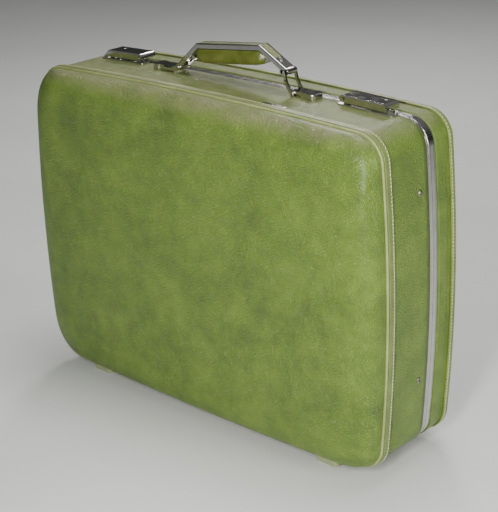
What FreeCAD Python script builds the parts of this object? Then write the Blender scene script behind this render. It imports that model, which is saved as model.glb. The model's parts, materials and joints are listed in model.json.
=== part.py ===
"""Hard-sided clamshell suitcase of the 1960s: two moulded shells, aluminium rims, swing-link handle.

Frame: millimetres, +Z up, the case stands on its feet at Z = 0. X runs along the width, the front
shell (the tray) faces -Y and the lid faces +Y. The origin is at the bottom centre of the whole case.
"""
import FreeCAD, Part
import math
import os

V = FreeCAD.Vector

# ---------------------------------------------------------------- driving dimensions
WIDTH = 560.0            # across the end walls, at mid height
HEIGHT = 408.0           # across top and bottom walls, at mid width
GROUND = 8.0             # floor to the bottom wall at mid width
CORNER_R = 32.4          # corner radius of the outline
SIDE_BOW = 11.0          # how far the end walls bow outwards
TOP_BOW = 6.7            # how far the top and bottom walls bow outwards
WALL = 3.0               # shell wall
SPLIT_Y = 24.5           # plane where the two rims meet
RIM_GAP = 0.2            # gap between the two rims
FRONT_DOME_Y = -61.0     # where the front shell's wall turns into its face
FRONT_RUN = 45.0         # width of the front shoulder
FRONT_RISE = 28.5        # depth of the front shoulder
FRONT_POWER = 2.7        # fullness of the front shoulder
LID_STEP_Y = 52.5        # light step line in the lid wall
LID_DOME_Y = 69.0        # where the lid's wall turns into its face
LID_TAPER = 0.6          # how far the lid wall leans in by there
LID_RUN = 60.0
LID_RISE = 20.5
CROWN = 2.0              # swell of both faces beyond the shoulder
CROWN_RUN = 90.0
FACE_CORNER_R = 68.0     # corner radius where the shoulder meets the face
RIM_RECESS = 1.2         # rims sit this far inside the shell's surface
LINING_GAP = 2.4         # room for hardware between the shell and the lining
LINING = 0.8
HOLE_CLEARANCE = 0.05    # radial, all rivet holes
RUN_CLEARANCE = 0.05     # radial, all turning pins

LATCH_FROM_END = 87.5    # end wall to the centre of each latch
LATCH_LEN = 66.0
LATCH_LAP = 17.0         # how far the latch reaches over the front shell from the split
LATCH_DEPTH = 25.0       # latch lever, front to back
LATCH_H = 12.0
LATCH_PIVOT_U = -27.0    # pivot from the latch centre, negative is towards the handle
LATCH_PIVOT_W = 6.6
LATCH_PIN_R = 1.5

HANDLE_SETBACK = 17.0    # split to the centre plane of the handle
BRACKET_X0 = 95.2
BRACKET_X1 = 131.0
BRACKET_RISE = 5.6       # heights in this block are above the top wall at mid width
BRACKET_HALF = 8.0
PIN_RISE = 3.0           # link pins in the bracket slots
UP_X, UP_RISE = 88.0, 26.0     # grip pivot with its link raised
DOWN_X, DOWN_RISE = 86.0, 6.5  # the same pivot with the link folded flat
LINK_FOOT = 10.5         # raised link: pin outboard of the knuckle
LINK_T = 2.4             # thickness of the link's legs
LINK_W = 3.8             # width of the link's legs
LINK_GAP = 0.4           # leg to bracket
LINK_PIN_R = 1.4
CROSSBAR_R = 1.8

GRIP_TOP = 30.0          # top of the grip above the line of its two pivots
GRIP_FLAT = 52.0         # half length of the flat top
GRIP_HALF = 8.0          # half width of the metal channel
GRIP_ANGLE = 35.2        # slope of the arms, degrees
GRIP_SKIN = 2.4
GRIP_FLANGE = 6.0
KNUCKLE_R = 4.0
PAD_DROP = 25.0          # top of the grip to the underside of the pad
PAD_HALF = 10.0

HINGE_X = 100.0          # centre of each of the two hinges
HINGE_LEN = 60.0
HINGE_DROP = 3.4         # hinge axis below the bottom wall at mid width
KNUCKLE_OD = 5.4
HINGE_PIN_R = 1.25
KNUCKLES = 5

FOOT_FROM_END = 84.0     # end wall to the centre of each foot
FOOT_LEN = 34.0
FOOT_DEPTH = 22.0
FRONT_FOOT_SETBACK = 5.0 # front shoulder line to the centre of a front foot
LID_FOOT_FROM_SPLIT = 31.5   # parting line to the centre of a lid foot, clear of the lid frame

STRAP_SETBACK = 21.0     # split to the rivets of the packing straps
STRAP_UP, STRAP_DOWN = 100.0, 82.0   # strap centres from the bottom wall and from the top wall
STRAP_W = 25.0
STRAP_T = 1.2

# ---------------------------------------------------------------- derived
HALF_W = WIDTH / 2
HALF_H = HEIGHT / 2
MID_Z = GROUND + HALF_H
SIDE_R = (HALF_H ** 2 + SIDE_BOW ** 2) / (2 * SIDE_BOW)
TOP_R = (HALF_W ** 2 + TOP_BOW ** 2) / (2 * TOP_BOW)
SIDE_CX = HALF_W - SIDE_R
TOP_CZ = HALF_H - TOP_R
WALL_END_Y = SPLIT_Y - 6.0        # the front shell's wall stops here, behind the rim's bead
TOP = GROUND + HEIGHT
LATCH_X = HALF_W - LATCH_FROM_END
LATCH_Y0 = SPLIT_Y - LATCH_LAP
LATCH_Y1 = LATCH_Y0 + LATCH_DEPTH
HANDLE_Y = SPLIT_Y - HANDLE_SETBACK
BRACKET_TOP = TOP + BRACKET_RISE
PIN_Z = TOP + PIN_RISE
KNUCKLE_UP = (UP_X, TOP + UP_RISE)
KNUCKLE_DOWN = (DOWN_X, TOP + DOWN_RISE)
HINGE_Z = GROUND - HINGE_DROP
FOOT_X = HALF_W - FOOT_FROM_END
FRONT_FOOT_Y = FRONT_DOME_Y + FRONT_FOOT_SETBACK
LID_FOOT_Y = SPLIT_Y + LID_FOOT_FROM_SPLIT
STRAP_Y = SPLIT_Y - STRAP_SETBACK
STRAP_Z = (MID_Z - HEIGHT / 2 + STRAP_UP, MID_Z + HEIGHT / 2 - STRAP_DOWN)
LINING_OUT = WALL + LINING_GAP
LINING_IN = LINING_OUT + LINING


# ---------------------------------------------------------------- outline and forms
def corner_centre(off, radius):
    """Centre of the corner arc that is tangent to the bowed side and the bowed top."""
    a = SIDE_R + off - radius
    b = TOP_R + off - radius
    span = math.hypot(SIDE_CX, TOP_CZ)
    ux = -SIDE_CX / span
    uz = TOP_CZ / span
    along = (a * a - b * b + span * span) / (2 * span)
    up = math.sqrt(a * a - along * along)
    return SIDE_CX + along * ux - up * uz, along * uz + up * ux


def outline(y, off=0.0, radius=None):
    """The case outline, offset by off, as a closed wire of eight tangent arcs in the plane y."""
    radius = CORNER_R + off if radius is None else radius
    px, pz = corner_centre(off, radius)
    side = math.hypot(px - SIDE_CX, pz)
    top = math.hypot(px, pz - TOP_CZ)
    sx, sz = (px - SIDE_CX) / side, pz / side
    tx, tz = px / top, (pz - TOP_CZ) / top
    on_side = (px + radius * sx, pz + radius * sz)
    on_top = (px + radius * tx, pz + radius * tz)
    mx, mz = sx + tx, sz + tz
    m = math.hypot(mx, mz)
    on_corner = (px + radius * mx / m, pz + radius * mz / m)

    def point(p, fx, fz):
        return V(fx * p[0], y, MID_Z + fz * p[1])

    right = (HALF_W + off, 0.0)
    above = (0.0, HALF_H + off)
    edges = [
        Part.Arc(point(on_side, 1, -1), point(right, 1, 1), point(on_side, 1, 1)),
        Part.Arc(point(on_side, 1, 1), point(on_corner, 1, 1), point(on_top, 1, 1)),
        Part.Arc(point(on_top, 1, 1), point(above, 1, 1), point(on_top, -1, 1)),
        Part.Arc(point(on_top, -1, 1), point(on_corner, -1, 1), point(on_side, -1, 1)),
        Part.Arc(point(on_side, -1, 1), point(right, -1, 1), point(on_side, -1, -1)),
        Part.Arc(point(on_side, -1, -1), point(on_corner, -1, -1), point(on_top, -1, -1)),
        Part.Arc(point(on_top, -1, -1), point(above, 1, -1), point(on_top, 1, -1)),
        Part.Arc(point(on_top, 1, -1), point(on_corner, 1, -1), point(on_side, 1, -1)),
    ]
    return Part.Wire([e.toShape() for e in edges])


def form(sections):
    """Solid through outlines, each given as (y, offset) or (y, offset, corner radius)."""
    solid = Part.makeLoft([outline(*s) for s in sections], True, True)
    if solid.Volume < 0:
        solid.reverse()
    return solid


def ring(y0, y1, inner, outer, round_r=0.0):
    """Closed band between two offsets, with its two outer edges rounded."""
    body = form([(y0, outer), (y1, outer)])
    if round_r:
        flat = [e for e in body.Edges if e.BoundBox.YLength < 1e-6]
        body = body.makeFillet(round_r, flat)
    return body.cut(form([(y0 - 1, inner), (y1 + 1, inner)]))


def shoulder(y0, sign, off, run, rise, power, crown):
    """Sections from the end of a wall over the shoulder to the nearly flat face."""
    steps = 8
    rows = [(y0, off, CORNER_R + off)]
    for i in range(1, steps + 1):
        if power:
            t = math.radians(90.0 * i / steps)
            depth = rise * math.sin(t) ** (2 / power)
            inward = run * (1 - math.cos(t) ** (2 / power))
        else:
            t = i / steps
            inward = run * t
            depth = rise * (1 - (1 - t) ** 2)
        radius = CORNER_R + off + (FACE_CORNER_R - CORNER_R - off) * (depth / rise) ** 1.3
        rows.append((y0 + sign * depth, off - inward, radius))
    rows.append((y0 + sign * (rise + 0.5 * crown), off - run - 0.45 * CROWN_RUN, FACE_CORNER_R))
    rows.append((y0 + sign * (rise + crown), off - run - CROWN_RUN, FACE_CORNER_R - 12))
    return rows


def front_form(inset, mouth_y):
    """Solid front volume, inset from the outer surface, from mouth_y to the face."""
    face = shoulder(FRONT_DOME_Y, -1, -inset, FRONT_RUN - inset, FRONT_RISE - inset,
                    FRONT_POWER, CROWN)
    return form([(mouth_y, -inset)] + face)


def lid_wall_offset(y):
    """How far the lid's wall leans in at y."""
    start = SPLIT_Y + 12.0
    return -LID_TAPER * max(0.0, y - start) / (LID_DOME_Y - start)


def lid_form(inset, mouth_y):
    """Solid lid volume, inset from the outer surface, from mouth_y to the face."""
    start = SPLIT_Y + 12.0
    rows = [(mouth_y, -inset)]
    if mouth_y < start:
        rows.append((start, -inset))
    return form(rows + shoulder(LID_DOME_Y, 1, -LID_TAPER - inset, LID_RUN - 0.6 * inset,
                                LID_RISE - inset, None, CROWN))


# ---------------------------------------------------------------- placing on the walls
def top_z(x):
    return MID_Z + TOP_CZ + math.sqrt(TOP_R ** 2 - x ** 2)


def side_x(z):
    return SIDE_CX + math.sqrt(SIDE_R ** 2 - (z - MID_Z) ** 2)


def moved(shape, origin, turn):
    """Turn a shape about +Y by turn degrees, then carry its frame's origin to a point."""
    placed = shape.copy()
    place = FreeCAD.Placement(origin, FreeCAD.Rotation(V(0, 1, 0), turn))
    placed.Placement = place.multiply(placed.Placement)
    return placed


def on_top(shape, x, y=0.0):
    """Move a shape drawn on the XY plane to the top wall, tangent to it at x."""
    turn = math.degrees(math.asin(x / TOP_R))
    return moved(shape, V(x, y, top_z(x)), turn)


def on_right(shape, y, z):
    """Move a shape drawn about +Z to the right end wall, its +Z along the wall's outward normal."""
    turn = 90.0 - math.degrees(math.asin((z - MID_Z) / SIDE_R))
    return moved(shape, V(side_x(z), y, z), turn)


def mirrored(shape):
    return shape.mirror(V(0, 0, 0), V(1, 0, 0))


def box(x0, x1, y0, y1, z0, z1):
    return Part.makeBox(x1 - x0, y1 - y0, z1 - z0, V(x0, y0, z0))


def cylinder(radius, start, end):
    axis = end - start
    return Part.makeCylinder(radius, axis.Length, start, axis)


def plate(points, y0, y1):
    """Side-view polygon (x, z) extruded from y0 to y1."""
    corners = [V(x, y0, z) for x, z in points]
    return Part.Face(Part.makePolygon(corners + corners[:1])).extrude(V(0, y1 - y0, 0))


def strip(points, width, y0, y1):
    """Flat bar of the given width along a side-view line, with round ends and elbows."""
    solid = None
    half = width / 2
    for (x, z) in points:
        disc = Part.makeCylinder(half, y1 - y0, V(x, y0, z), V(0, 1, 0))
        solid = disc if solid is None else solid.fuse(disc)
    for (xa, za), (xb, zb) in zip(points, points[1:]):
        length = math.hypot(xb - xa, zb - za)
        nx, nz = -(zb - za) / length * half, (xb - xa) / length * half
        solid = solid.fuse(plate([(xa + nx, za + nz), (xb + nx, zb + nz),
                                  (xb - nx, zb - nz), (xa - nx, za - nz)], y0, y1))
    return solid.removeSplitter()


def rivet(head_r, head_h, shank_r, length, tail_r, tail_h, dimple=0.0):
    """Rivet about Z: domed head above Z = 0, shank below it, and an upset tail at the far end."""
    crown = head_h * 0.35
    face = [V(0, 0, head_h), V(head_r * 0.6, 0, head_h), V(head_r, 0, crown), V(head_r, 0, 0),
            V(shank_r, 0, 0), V(shank_r, 0, -length), V(tail_r, 0, -length),
            V(tail_r * 0.8, 0, -length - tail_h), V(0, 0, -length - tail_h), V(0, 0, head_h)]
    body = Part.Face(Part.makePolygon(face)).revolve(V(0, 0, 0), V(0, 0, 1), 360)
    if dimple:
        body = body.cut(Part.makeCylinder(dimple, head_h, V(0, 0, head_h * 0.25)))
    return body


def group(shapes):
    return Part.makeCompound(shapes)


nodes = {}

# ---------------------------------------------------------------- shells
front_shell = front_form(0.0, WALL_END_Y).cut(front_form(WALL, WALL_END_Y + 1))
front_lining = front_form(LINING_OUT, SPLIT_Y - 4.5).cut(front_form(LINING_IN, SPLIT_Y - 3.5))

lid_mouth = SPLIT_Y + 12.0
lid_shell = lid_form(0.0, lid_mouth)
step = form([(LID_STEP_Y, lid_wall_offset(LID_STEP_Y) + 3), (LID_DOME_Y, 3.0 - LID_TAPER)])
step = step.cut(form([(LID_STEP_Y - 0.01, lid_wall_offset(LID_STEP_Y) - 0.5),
                      (LID_DOME_Y, -LID_TAPER)]))
lid_shell = lid_shell.cut(step).cut(lid_form(WALL, lid_mouth - 1))
lid_lining = lid_form(LINING_OUT, SPLIT_Y + 8.0).cut(lid_form(LINING_IN, SPLIT_Y + 7.0))

# ---------------------------------------------------------------- welts, piping and rims
WELT_Y0 = FRONT_DOME_Y + 3.8
WELT_Y1 = FRONT_DOME_Y + 12.5
front_welt = ring(WELT_Y0, WELT_Y1, 0.0, 2.6, 1.0)
front_piping = ring(FRONT_DOME_Y + 0.3, FRONT_DOME_Y + 3.0, 0.0, 2.2, 1.1)

LID_WELT_Y0 = LID_DOME_Y - 8.5
lid_welt = form([(LID_WELT_Y0, lid_wall_offset(LID_WELT_Y0) + 1.8),
                 (LID_DOME_Y - 0.8, lid_wall_offset(LID_DOME_Y - 0.8) + 1.8)])
lid_welt = lid_welt.makeFillet(0.8, [e for e in lid_welt.Edges if e.BoundBox.YLength < 1e-6])
lid_welt = lid_welt.cut(form([(lid_mouth, 0.0), (LID_DOME_Y, -LID_TAPER)]))

front_binding = ring(WALL_END_Y + 0.1, SPLIT_Y - 3.5, -WALL - 0.4, -0.5, 0.9)

bead = ring(SPLIT_Y - 3.4, SPLIT_Y - RIM_GAP, -7.0, -RIM_RECESS, 0.9)
flange = ring(SPLIT_Y - 22.5, SPLIT_Y - 3.0, -4.7, -WALL - 0.05)
inner_flange = ring(WALL_END_Y, SPLIT_Y - 3.0, -4.7, -WALL - 0.45)
flange = flange.cut(ring(WALL_END_Y, SPLIT_Y - 2.0, -WALL - 0.45, -WALL + 1.0)).fuse(inner_flange)
tongue = ring(SPLIT_Y - 1.5, SPLIT_Y + 5.5, -7.0, -5.2)
front_frame = bead.fuse(flange).fuse(tongue).removeSplitter()

band = ring(SPLIT_Y, SPLIT_Y + 11.5, -4.6, -RIM_RECESS, 0.6)
for groove_y in (SPLIT_Y + 2.2, SPLIT_Y + 8.6):
    band = band.cut(ring(groove_y, groove_y + 0.7, -RIM_RECESS - 0.4, -RIM_RECESS + 1))
lid_flange = form([(lid_mouth - 1.0, -WALL - 0.1),
                   (lid_mouth + 9.0, lid_wall_offset(lid_mouth + 9.0) - WALL - 0.1)])
lid_flange = lid_flange.cut(form([(lid_mouth - 1.5, -4.6),
                                  (lid_mouth + 9.5, lid_wall_offset(lid_mouth + 9.5) - 4.6)]))
lid_frame = band.fuse(lid_flange).removeSplitter()

# ---------------------------------------------------------------- feet
def foot(y):
    """Glide under one corner of the case, cut to the surfaces above it."""
    half, deep = FOOT_LEN / 2, FOOT_DEPTH / 2
    body = box(FOOT_X - half, FOOT_X + half, y - deep, y + deep, 0, GROUND + 10)
    upright = [e for e in body.Edges if e.BoundBox.ZLength > 1]
    body = body.makeFillet(6.0, upright)
    sole = [e for e in body.Edges if e.BoundBox.ZMax < 0.01]
    return body.makeFillet(1.5, sole)


def under(body, cutters):
    for cutter in cutters:
        body = body.cut(cutter)
    return max(body.Solids, key=lambda s: s.Volume)


FOOT_GAP = 0.05
front_volume = form([(WALL_END_Y, FOOT_GAP), (FRONT_DOME_Y - 140.0, FOOT_GAP)])
front_belt = form([(FRONT_DOME_Y - 30, 2.6 + FOOT_GAP), (WELT_Y1 + FOOT_GAP, 2.6 + FOOT_GAP)])
front_foot = under(foot(FRONT_FOOT_Y), [front_volume, front_belt])
lid_volume = form([(lid_mouth, FOOT_GAP), (LID_DOME_Y, FOOT_GAP - LID_TAPER),
                   (LID_DOME_Y + 130.0, FOOT_GAP - LID_TAPER)])
lid_belt = form([(y, lid_wall_offset(y) + 1.8 + FOOT_GAP)
                 for y in (LID_WELT_Y0 - FOOT_GAP, LID_DOME_Y - 0.7)])
lid_foot = under(foot(LID_FOOT_Y), [lid_volume, lid_belt])


def foot_screw(y, belt):
    """Screw up through a foot into the wall: centre, head recess and the screw itself."""
    wall = -top_z(FOOT_X) + 2 * MID_Z
    wall = wall + belt
    head = Part.makeCylinder(3.6, 2.0, V(FOOT_X, y, 2.0))
    shank = Part.makeCylinder(1.8, wall + WALL + 2.0 - 4.0, V(FOOT_X, y, 4.0))
    recess = Part.makeCylinder(3.9, 4.05, V(FOOT_X, y, -0.05))
    slot = box(FOOT_X - 3, FOOT_X + 3, y - 0.5, y + 0.5, 1.0, 2.7)
    return head.fuse(shank).cut(slot).removeSplitter(), recess


SCREW_Y_FRONT = FRONT_FOOT_Y + 4.0
SCREW_Y_LID = LID_FOOT_Y - 5.0
front_screw, front_recess = foot_screw(SCREW_Y_FRONT, 0.0)
lid_screw, lid_recess = foot_screw(SCREW_Y_LID, -lid_wall_offset(SCREW_Y_LID))


def screw_hole(y):
    return Part.makeCylinder(1.8 + HOLE_CLEARANCE, 60.0, V(FOOT_X, y, -10))


front_foot = front_foot.cut(front_recess).cut(screw_hole(SCREW_Y_FRONT))
lid_foot = lid_foot.cut(lid_recess).cut(screw_hole(SCREW_Y_LID))

# ---------------------------------------------------------------- hinges along the bottom
def hinge_pair(x):
    """Both leaves and the pin of one butt hinge, its knuckles taken in turn by the leaves."""
    start = x - HINGE_LEN / 2
    pitch = HINGE_LEN / KNUCKLES
    axis_y = SPLIT_Y
    leaves = []
    for side, owner in ((-1, 0), (1, 1)):
        inner = 0.6
        reach = 17.0
        y0, y1 = sorted((axis_y + side * inner, axis_y + side * reach))
        leaf = box(start, start + HINGE_LEN, y0, y1, HINGE_Z + 1.2, HINGE_Z + 10)
        if side < 0:
            leaf = leaf.cut(form([(y0 - 5, 0.0), (WALL_END_Y, 0.0)]))
            leaf = leaf.cut(form([(WALL_END_Y - 0.1, -0.45), (axis_y + 5, -0.45)]))
        else:
            leaf = leaf.cut(form([(axis_y - 5, -RIM_RECESS), (lid_mouth - 0.45, -RIM_RECESS)]))
            leaf = leaf.cut(form([(lid_mouth - 0.5, 0.0), (lid_mouth, 0.0),
                                  (y1 + 5, lid_wall_offset(y1 + 5))]))
        leaf = max(leaf.Solids, key=lambda s: s.Volume)
        for k in range(KNUCKLES):
            x0 = start + k * pitch
            if k % 2 == owner:
                leaf = leaf.fuse(cylinder(KNUCKLE_OD / 2, V(x0 + 0.15, axis_y, HINGE_Z),
                                          V(x0 + pitch - 0.15, axis_y, HINGE_Z)))
            else:
                leaf = leaf.cut(cylinder(KNUCKLE_OD / 2 + 0.45, V(x0 - 0.15, axis_y, HINGE_Z),
                                         V(x0 + pitch + 0.15, axis_y, HINGE_Z)))
        bore = HINGE_PIN_R + RUN_CLEARANCE
        leaf = leaf.cut(cylinder(bore, V(start - 1, axis_y, HINGE_Z),
                                 V(start + HINGE_LEN + 1, axis_y, HINGE_Z)))
        leaves.append(max(leaf.removeSplitter().Solids, key=lambda s: s.Volume))
    pin = cylinder(HINGE_PIN_R, V(start - 0.6, axis_y, HINGE_Z),
                   V(start + HINGE_LEN + 0.6, axis_y, HINGE_Z))
    return leaves[0], leaves[1], pin


hinge_sets = [hinge_pair(x) for x in (-HINGE_X, HINGE_X)]

# Hinge rivets stand through the leaf, the wall and the rim flange.
HINGE_RIVET_R = 1.5
hinge_rivet_spots = [(sx * HINGE_X + dx, y) for sx in (-1, 1) for dx in (-20, 0, 20)
                     for y in (SPLIT_Y - 12.5, SPLIT_Y + 14.5)]


def bottom_z(x):
    return 2 * MID_Z - top_z(x)


def hinge_rivet(x, y):
    lean = 0.0 if y < SPLIT_Y else -lid_wall_offset(y)
    tall = bottom_z(x) + lean
    shank = Part.makeCylinder(HINGE_RIVET_R, tall + 5.0 - HINGE_Z, V(x, y, HINGE_Z))
    head = Part.makeCylinder(2.6, 0.9, V(x, y, HINGE_Z + 0.25))
    return shank.common(box(x - 5, x + 5, y - 5, y + 5, HINGE_Z + 0.5, 50)).fuse(head)


def hinge_hole(x, y):
    return Part.makeCylinder(HINGE_RIVET_R + HOLE_CLEARANCE, 30.0, V(x, y, HINGE_Z - 2))


# ---------------------------------------------------------------- packing straps in the tray
strap_rivet_shape = rivet(4.0, 1.4, 1.6, LINING_IN + 2.7, 3.4, 0.9, dimple=1.7)
strap_hole_shape = Part.makeCylinder(1.6 + HOLE_CLEARANCE, 40, V(0, 0, -30))
strap_rivets = []
strap_holes = []
for z in STRAP_Z:
    right = on_right(strap_rivet_shape, STRAP_Y, z)
    hole = on_right(strap_hole_shape, STRAP_Y, z)
    strap_rivets += [right, mirrored(right)]
    strap_holes += [hole, mirrored(hole)]

BUCKLE_BAR_X = 13.0
BUCKLE_BAR_R = 1.2
STRAP_RUN_Y = STRAP_Y + 11.0     # plane of the webbing across the case


def packing_strap(z):
    """Webbing from the right end wall to the buckle in the middle."""
    reach = side_x(z) - LINING_IN - 0.9
    tab = box(reach - STRAP_T, reach, STRAP_Y - 12, STRAP_RUN_Y + STRAP_T / 2,
              z - STRAP_W / 2, z + STRAP_W / 2)
    run = box(BUCKLE_BAR_X, reach, STRAP_RUN_Y - STRAP_T / 2, STRAP_RUN_Y + STRAP_T / 2,
              z - STRAP_W / 2, z + STRAP_W / 2)
    loop_r = BUCKLE_BAR_R + 0.1 + STRAP_T
    centre_y = STRAP_RUN_Y - STRAP_T / 2 + loop_r
    loop = Part.makeCylinder(loop_r, STRAP_W, V(BUCKLE_BAR_X, centre_y, z - STRAP_W / 2))
    eye = Part.makeCylinder(BUCKLE_BAR_R + 0.1, STRAP_W + 2, V(BUCKLE_BAR_X, centre_y,
                                                              z - STRAP_W / 2 - 1))
    hole = on_right(Part.makeCylinder(2.1, 30, V(0, 0, -25)), STRAP_Y, z)
    return tab.fuse(run).fuse(loop).cut(eye).cut(hole).removeSplitter(), centre_y


def buckle(z, y):
    """Two-bar slide buckle lying between the two halves of a strap."""
    half = STRAP_W / 2 + 3.0
    side = 3.0
    frame = None
    for sz in (-1, 1):
        rail = box(-BUCKLE_BAR_X - 1.6, BUCKLE_BAR_X + 1.6, y - 1.2, y + 1.2,
                   z + sz * half - side / 2, z + sz * half + side / 2)
        frame = rail if frame is None else frame.fuse(rail)
    for x in (-BUCKLE_BAR_X, BUCKLE_BAR_X):
        frame = frame.fuse(Part.makeCylinder(BUCKLE_BAR_R, 2 * half, V(x, y, z - half)))
    frame = frame.fuse(box(-1.5, 1.5, y - 1.0, y + 1.0, z - half, z + half))
    return frame.removeSplitter()


straps = {}
buckles = []
for name, z in zip(("packing_strap_lower", "packing_strap_upper"), STRAP_Z):
    half_strap, bar_y = packing_strap(z)
    straps[name] = group([half_strap, mirrored(half_strap)])
    buckles.append(buckle(z, bar_y))

# ---------------------------------------------------------------- lid pocket
POCKET_Y = LID_DOME_Y + LID_RISE - LINING_IN - 3.3
POCKET_HALF = HALF_W - 95.0
lid_pocket = box(-POCKET_HALF, POCKET_HALF, POCKET_Y, POCKET_Y + 2.5,
                 GROUND + 84.0, MID_Z + 40)
lid_pocket = lid_pocket.makeFillet(12.0, [e for e in lid_pocket.Edges if e.BoundBox.YLength > 2])

# ---------------------------------------------------------------- handle mechanism
def rotated(shape, centre, degrees):
    """Turn about the Y direction through centre (x, z); positive lifts +X towards +Z."""
    turned = shape.copy()
    turned.rotate(V(centre[0], 0, centre[1]), V(0, -1, 0), degrees)
    return turned


link_length = math.hypot(LINK_FOOT, KNUCKLE_UP[1] - PIN_Z)
pin_up = (KNUCKLE_UP[0] + LINK_FOOT, PIN_Z)
pin_down = (KNUCKLE_DOWN[0] + math.sqrt(link_length ** 2 - (KNUCKLE_DOWN[1] - PIN_Z) ** 2), PIN_Z)
lean_up = math.atan2(KNUCKLE_UP[1] - PIN_Z, KNUCKLE_UP[0] - pin_up[0])
lean_down = math.atan2(KNUCKLE_DOWN[1] - PIN_Z, KNUCKLE_DOWN[0] - pin_down[0])
LINK_TURN = math.degrees(lean_down - lean_up)
# The link turns about the pole, which is level with neither end: both ends ride on arcs about it.
pole_x = (pin_up[0] + pin_down[0]) / 2
mid_k = ((KNUCKLE_UP[0] + KNUCKLE_DOWN[0]) / 2, (KNUCKLE_UP[1] + KNUCKLE_DOWN[1]) / 2)
pole_z = mid_k[1] + ((pole_x - mid_k[0]) * (KNUCKLE_DOWN[0] - KNUCKLE_UP[0])
                     / (KNUCKLE_UP[1] - KNUCKLE_DOWN[1]))
POLE = (pole_x, pole_z)
slot_radius = math.hypot(pin_up[0] - pole_x, pin_up[1] - pole_z)

elbow_a = (KNUCKLE_UP[0] + 2.6, KNUCKLE_UP[1] - 10.0)
elbow_b = (KNUCKLE_UP[0] + 6.0, KNUCKLE_UP[1] - 17.0)
leg_line = [KNUCKLE_UP, elbow_a, elbow_b, pin_up]
leg_in = BRACKET_HALF + LINK_GAP
leg_out = leg_in + LINK_T
link_up = cylinder(CROSSBAR_R, V(KNUCKLE_UP[0], HANDLE_Y - leg_out, KNUCKLE_UP[1]),
                   V(KNUCKLE_UP[0], HANDLE_Y + leg_out, KNUCKLE_UP[1]))
for y0, y1 in ((HANDLE_Y - leg_out, HANDLE_Y - leg_in), (HANDLE_Y + leg_in, HANDLE_Y + leg_out)):
    link_up = link_up.fuse(strip(leg_line, LINK_W, y0, y1))
SLOT_DEPTH = 2.6
for sy in (-1, 1):
    start = V(pin_up[0], HANDLE_Y + sy * leg_out, PIN_Z)
    end = V(pin_up[0], HANDLE_Y + sy * (BRACKET_HALF - SLOT_DEPTH + 0.3), PIN_Z)
    link_up = link_up.fuse(cylinder(LINK_PIN_R, start, end))
link_up = link_up.removeSplitter()
link_down = rotated(link_up, POLE, LINK_TURN)


def slot_track(y0, y1):
    """Curved slot swept by the link's pin about the pole."""
    clear = LINK_PIN_R + 0.3
    outer = Part.makeCylinder(slot_radius + clear, y1 - y0, V(pole_x, y0, pole_z), V(0, 1, 0))
    inner = Part.makeCylinder(slot_radius - clear, y1 - y0, V(pole_x, y0, pole_z), V(0, 1, 0))
    reach = 2 * slot_radius
    wedge = plate([POLE,
                   (pole_x + (pin_up[0] - pole_x) * 2, pole_z + (PIN_Z - pole_z) * 2),
                   (pole_x + (pin_down[0] - pole_x) * 2, pole_z + (PIN_Z - pole_z) * 2)], y0, y1)
    track = outer.cut(inner).common(wedge)
    for x in (pin_up[0], pin_down[0]):
        track = track.fuse(Part.makeCylinder(clear, y1 - y0, V(x, y0, PIN_Z), V(0, 1, 0)))
    return track.removeSplitter()


def handle_bracket():
    """Chrome block on the top wall; the link's pins run in the slots in its two sides."""
    low = top_z(BRACKET_X1) - 3
    body = box(BRACKET_X0, BRACKET_X1 - 10, HANDLE_Y - BRACKET_HALF, HANDLE_Y + BRACKET_HALF,
               low, BRACKET_TOP)
    head = box(BRACKET_X1 - 11, BRACKET_X1, HANDLE_Y - leg_out + 1, HANDLE_Y + leg_out - 1,
               low, BRACKET_TOP)
    uprights = [e for e in head.Edges if e.BoundBox.ZLength > 2 and e.BoundBox.XMin > BRACKET_X1 - 1]
    head = head.makeFillet(4.5, uprights)
    block = body.fuse(head)
    upper = plate([(BRACKET_X0, BRACKET_TOP - 1.6), (BRACKET_X0 + 1.6, BRACKET_TOP),
                   (BRACKET_X1 - 1.6, BRACKET_TOP), (BRACKET_X1, BRACKET_TOP - 1.6),
                   (BRACKET_X1, low), (BRACKET_X0, low)], HANDLE_Y - 20, HANDLE_Y + 20)
    block = block.common(upper).cut(form([(HANDLE_Y - 37, 0.0), (SPLIT_Y + 5, 0.0)]))
    for y0, y1 in ((HANDLE_Y - 20, HANDLE_Y - BRACKET_HALF + SLOT_DEPTH),
                   (HANDLE_Y + BRACKET_HALF - SLOT_DEPTH, HANDLE_Y + 20)):
        block = block.cut(slot_track(y0, y1))
    return block.removeSplitter()


BRACKET_RIVETS = (BRACKET_X0 + 8.0, BRACKET_X1 - 8.0)
bracket_rivet_r = 2.0
bracket = handle_bracket()
rivet_top = BRACKET_TOP - 2.5
bracket_rivets = []
bracket_holes = []
for x in BRACKET_RIVETS:
    tail_z = top_z(x) - WALL - 1.5
    body = cylinder(bracket_rivet_r, V(x, HANDLE_Y, tail_z), V(x, HANDLE_Y, rivet_top))
    tail = cylinder(3.4, V(x, HANDLE_Y, tail_z - 0.7), V(x, HANDLE_Y, tail_z))
    hole = cylinder(bracket_rivet_r + HOLE_CLEARANCE, V(x, HANDLE_Y, tail_z - 5),
                    V(x, HANDLE_Y, rivet_top + 0.02))
    bracket_rivets += [body.fuse(tail), mirrored(body.fuse(tail))]
    bracket_holes += [hole, mirrored(hole)]

backing = box(BRACKET_X0, BRACKET_X1, HANDLE_Y - 7, HANDLE_Y + 7,
              top_z(BRACKET_X1) - 8, top_z(BRACKET_X0))
backing = backing.common(form([(HANDLE_Y - 35, -WALL - 0.05), (HANDLE_Y + 25, -WALL - 0.05)]))
backing = backing.cut(form([(HANDLE_Y - 45, -WALL - 1.3), (HANDLE_Y + 35, -WALL - 1.3)]))
backing_cut = box(BRACKET_X0 - 1, BRACKET_X1 + 1, HANDLE_Y - 7.5, HANDLE_Y + 7.5,
                  top_z(BRACKET_X1) - 20, top_z(BRACKET_X0))

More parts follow.
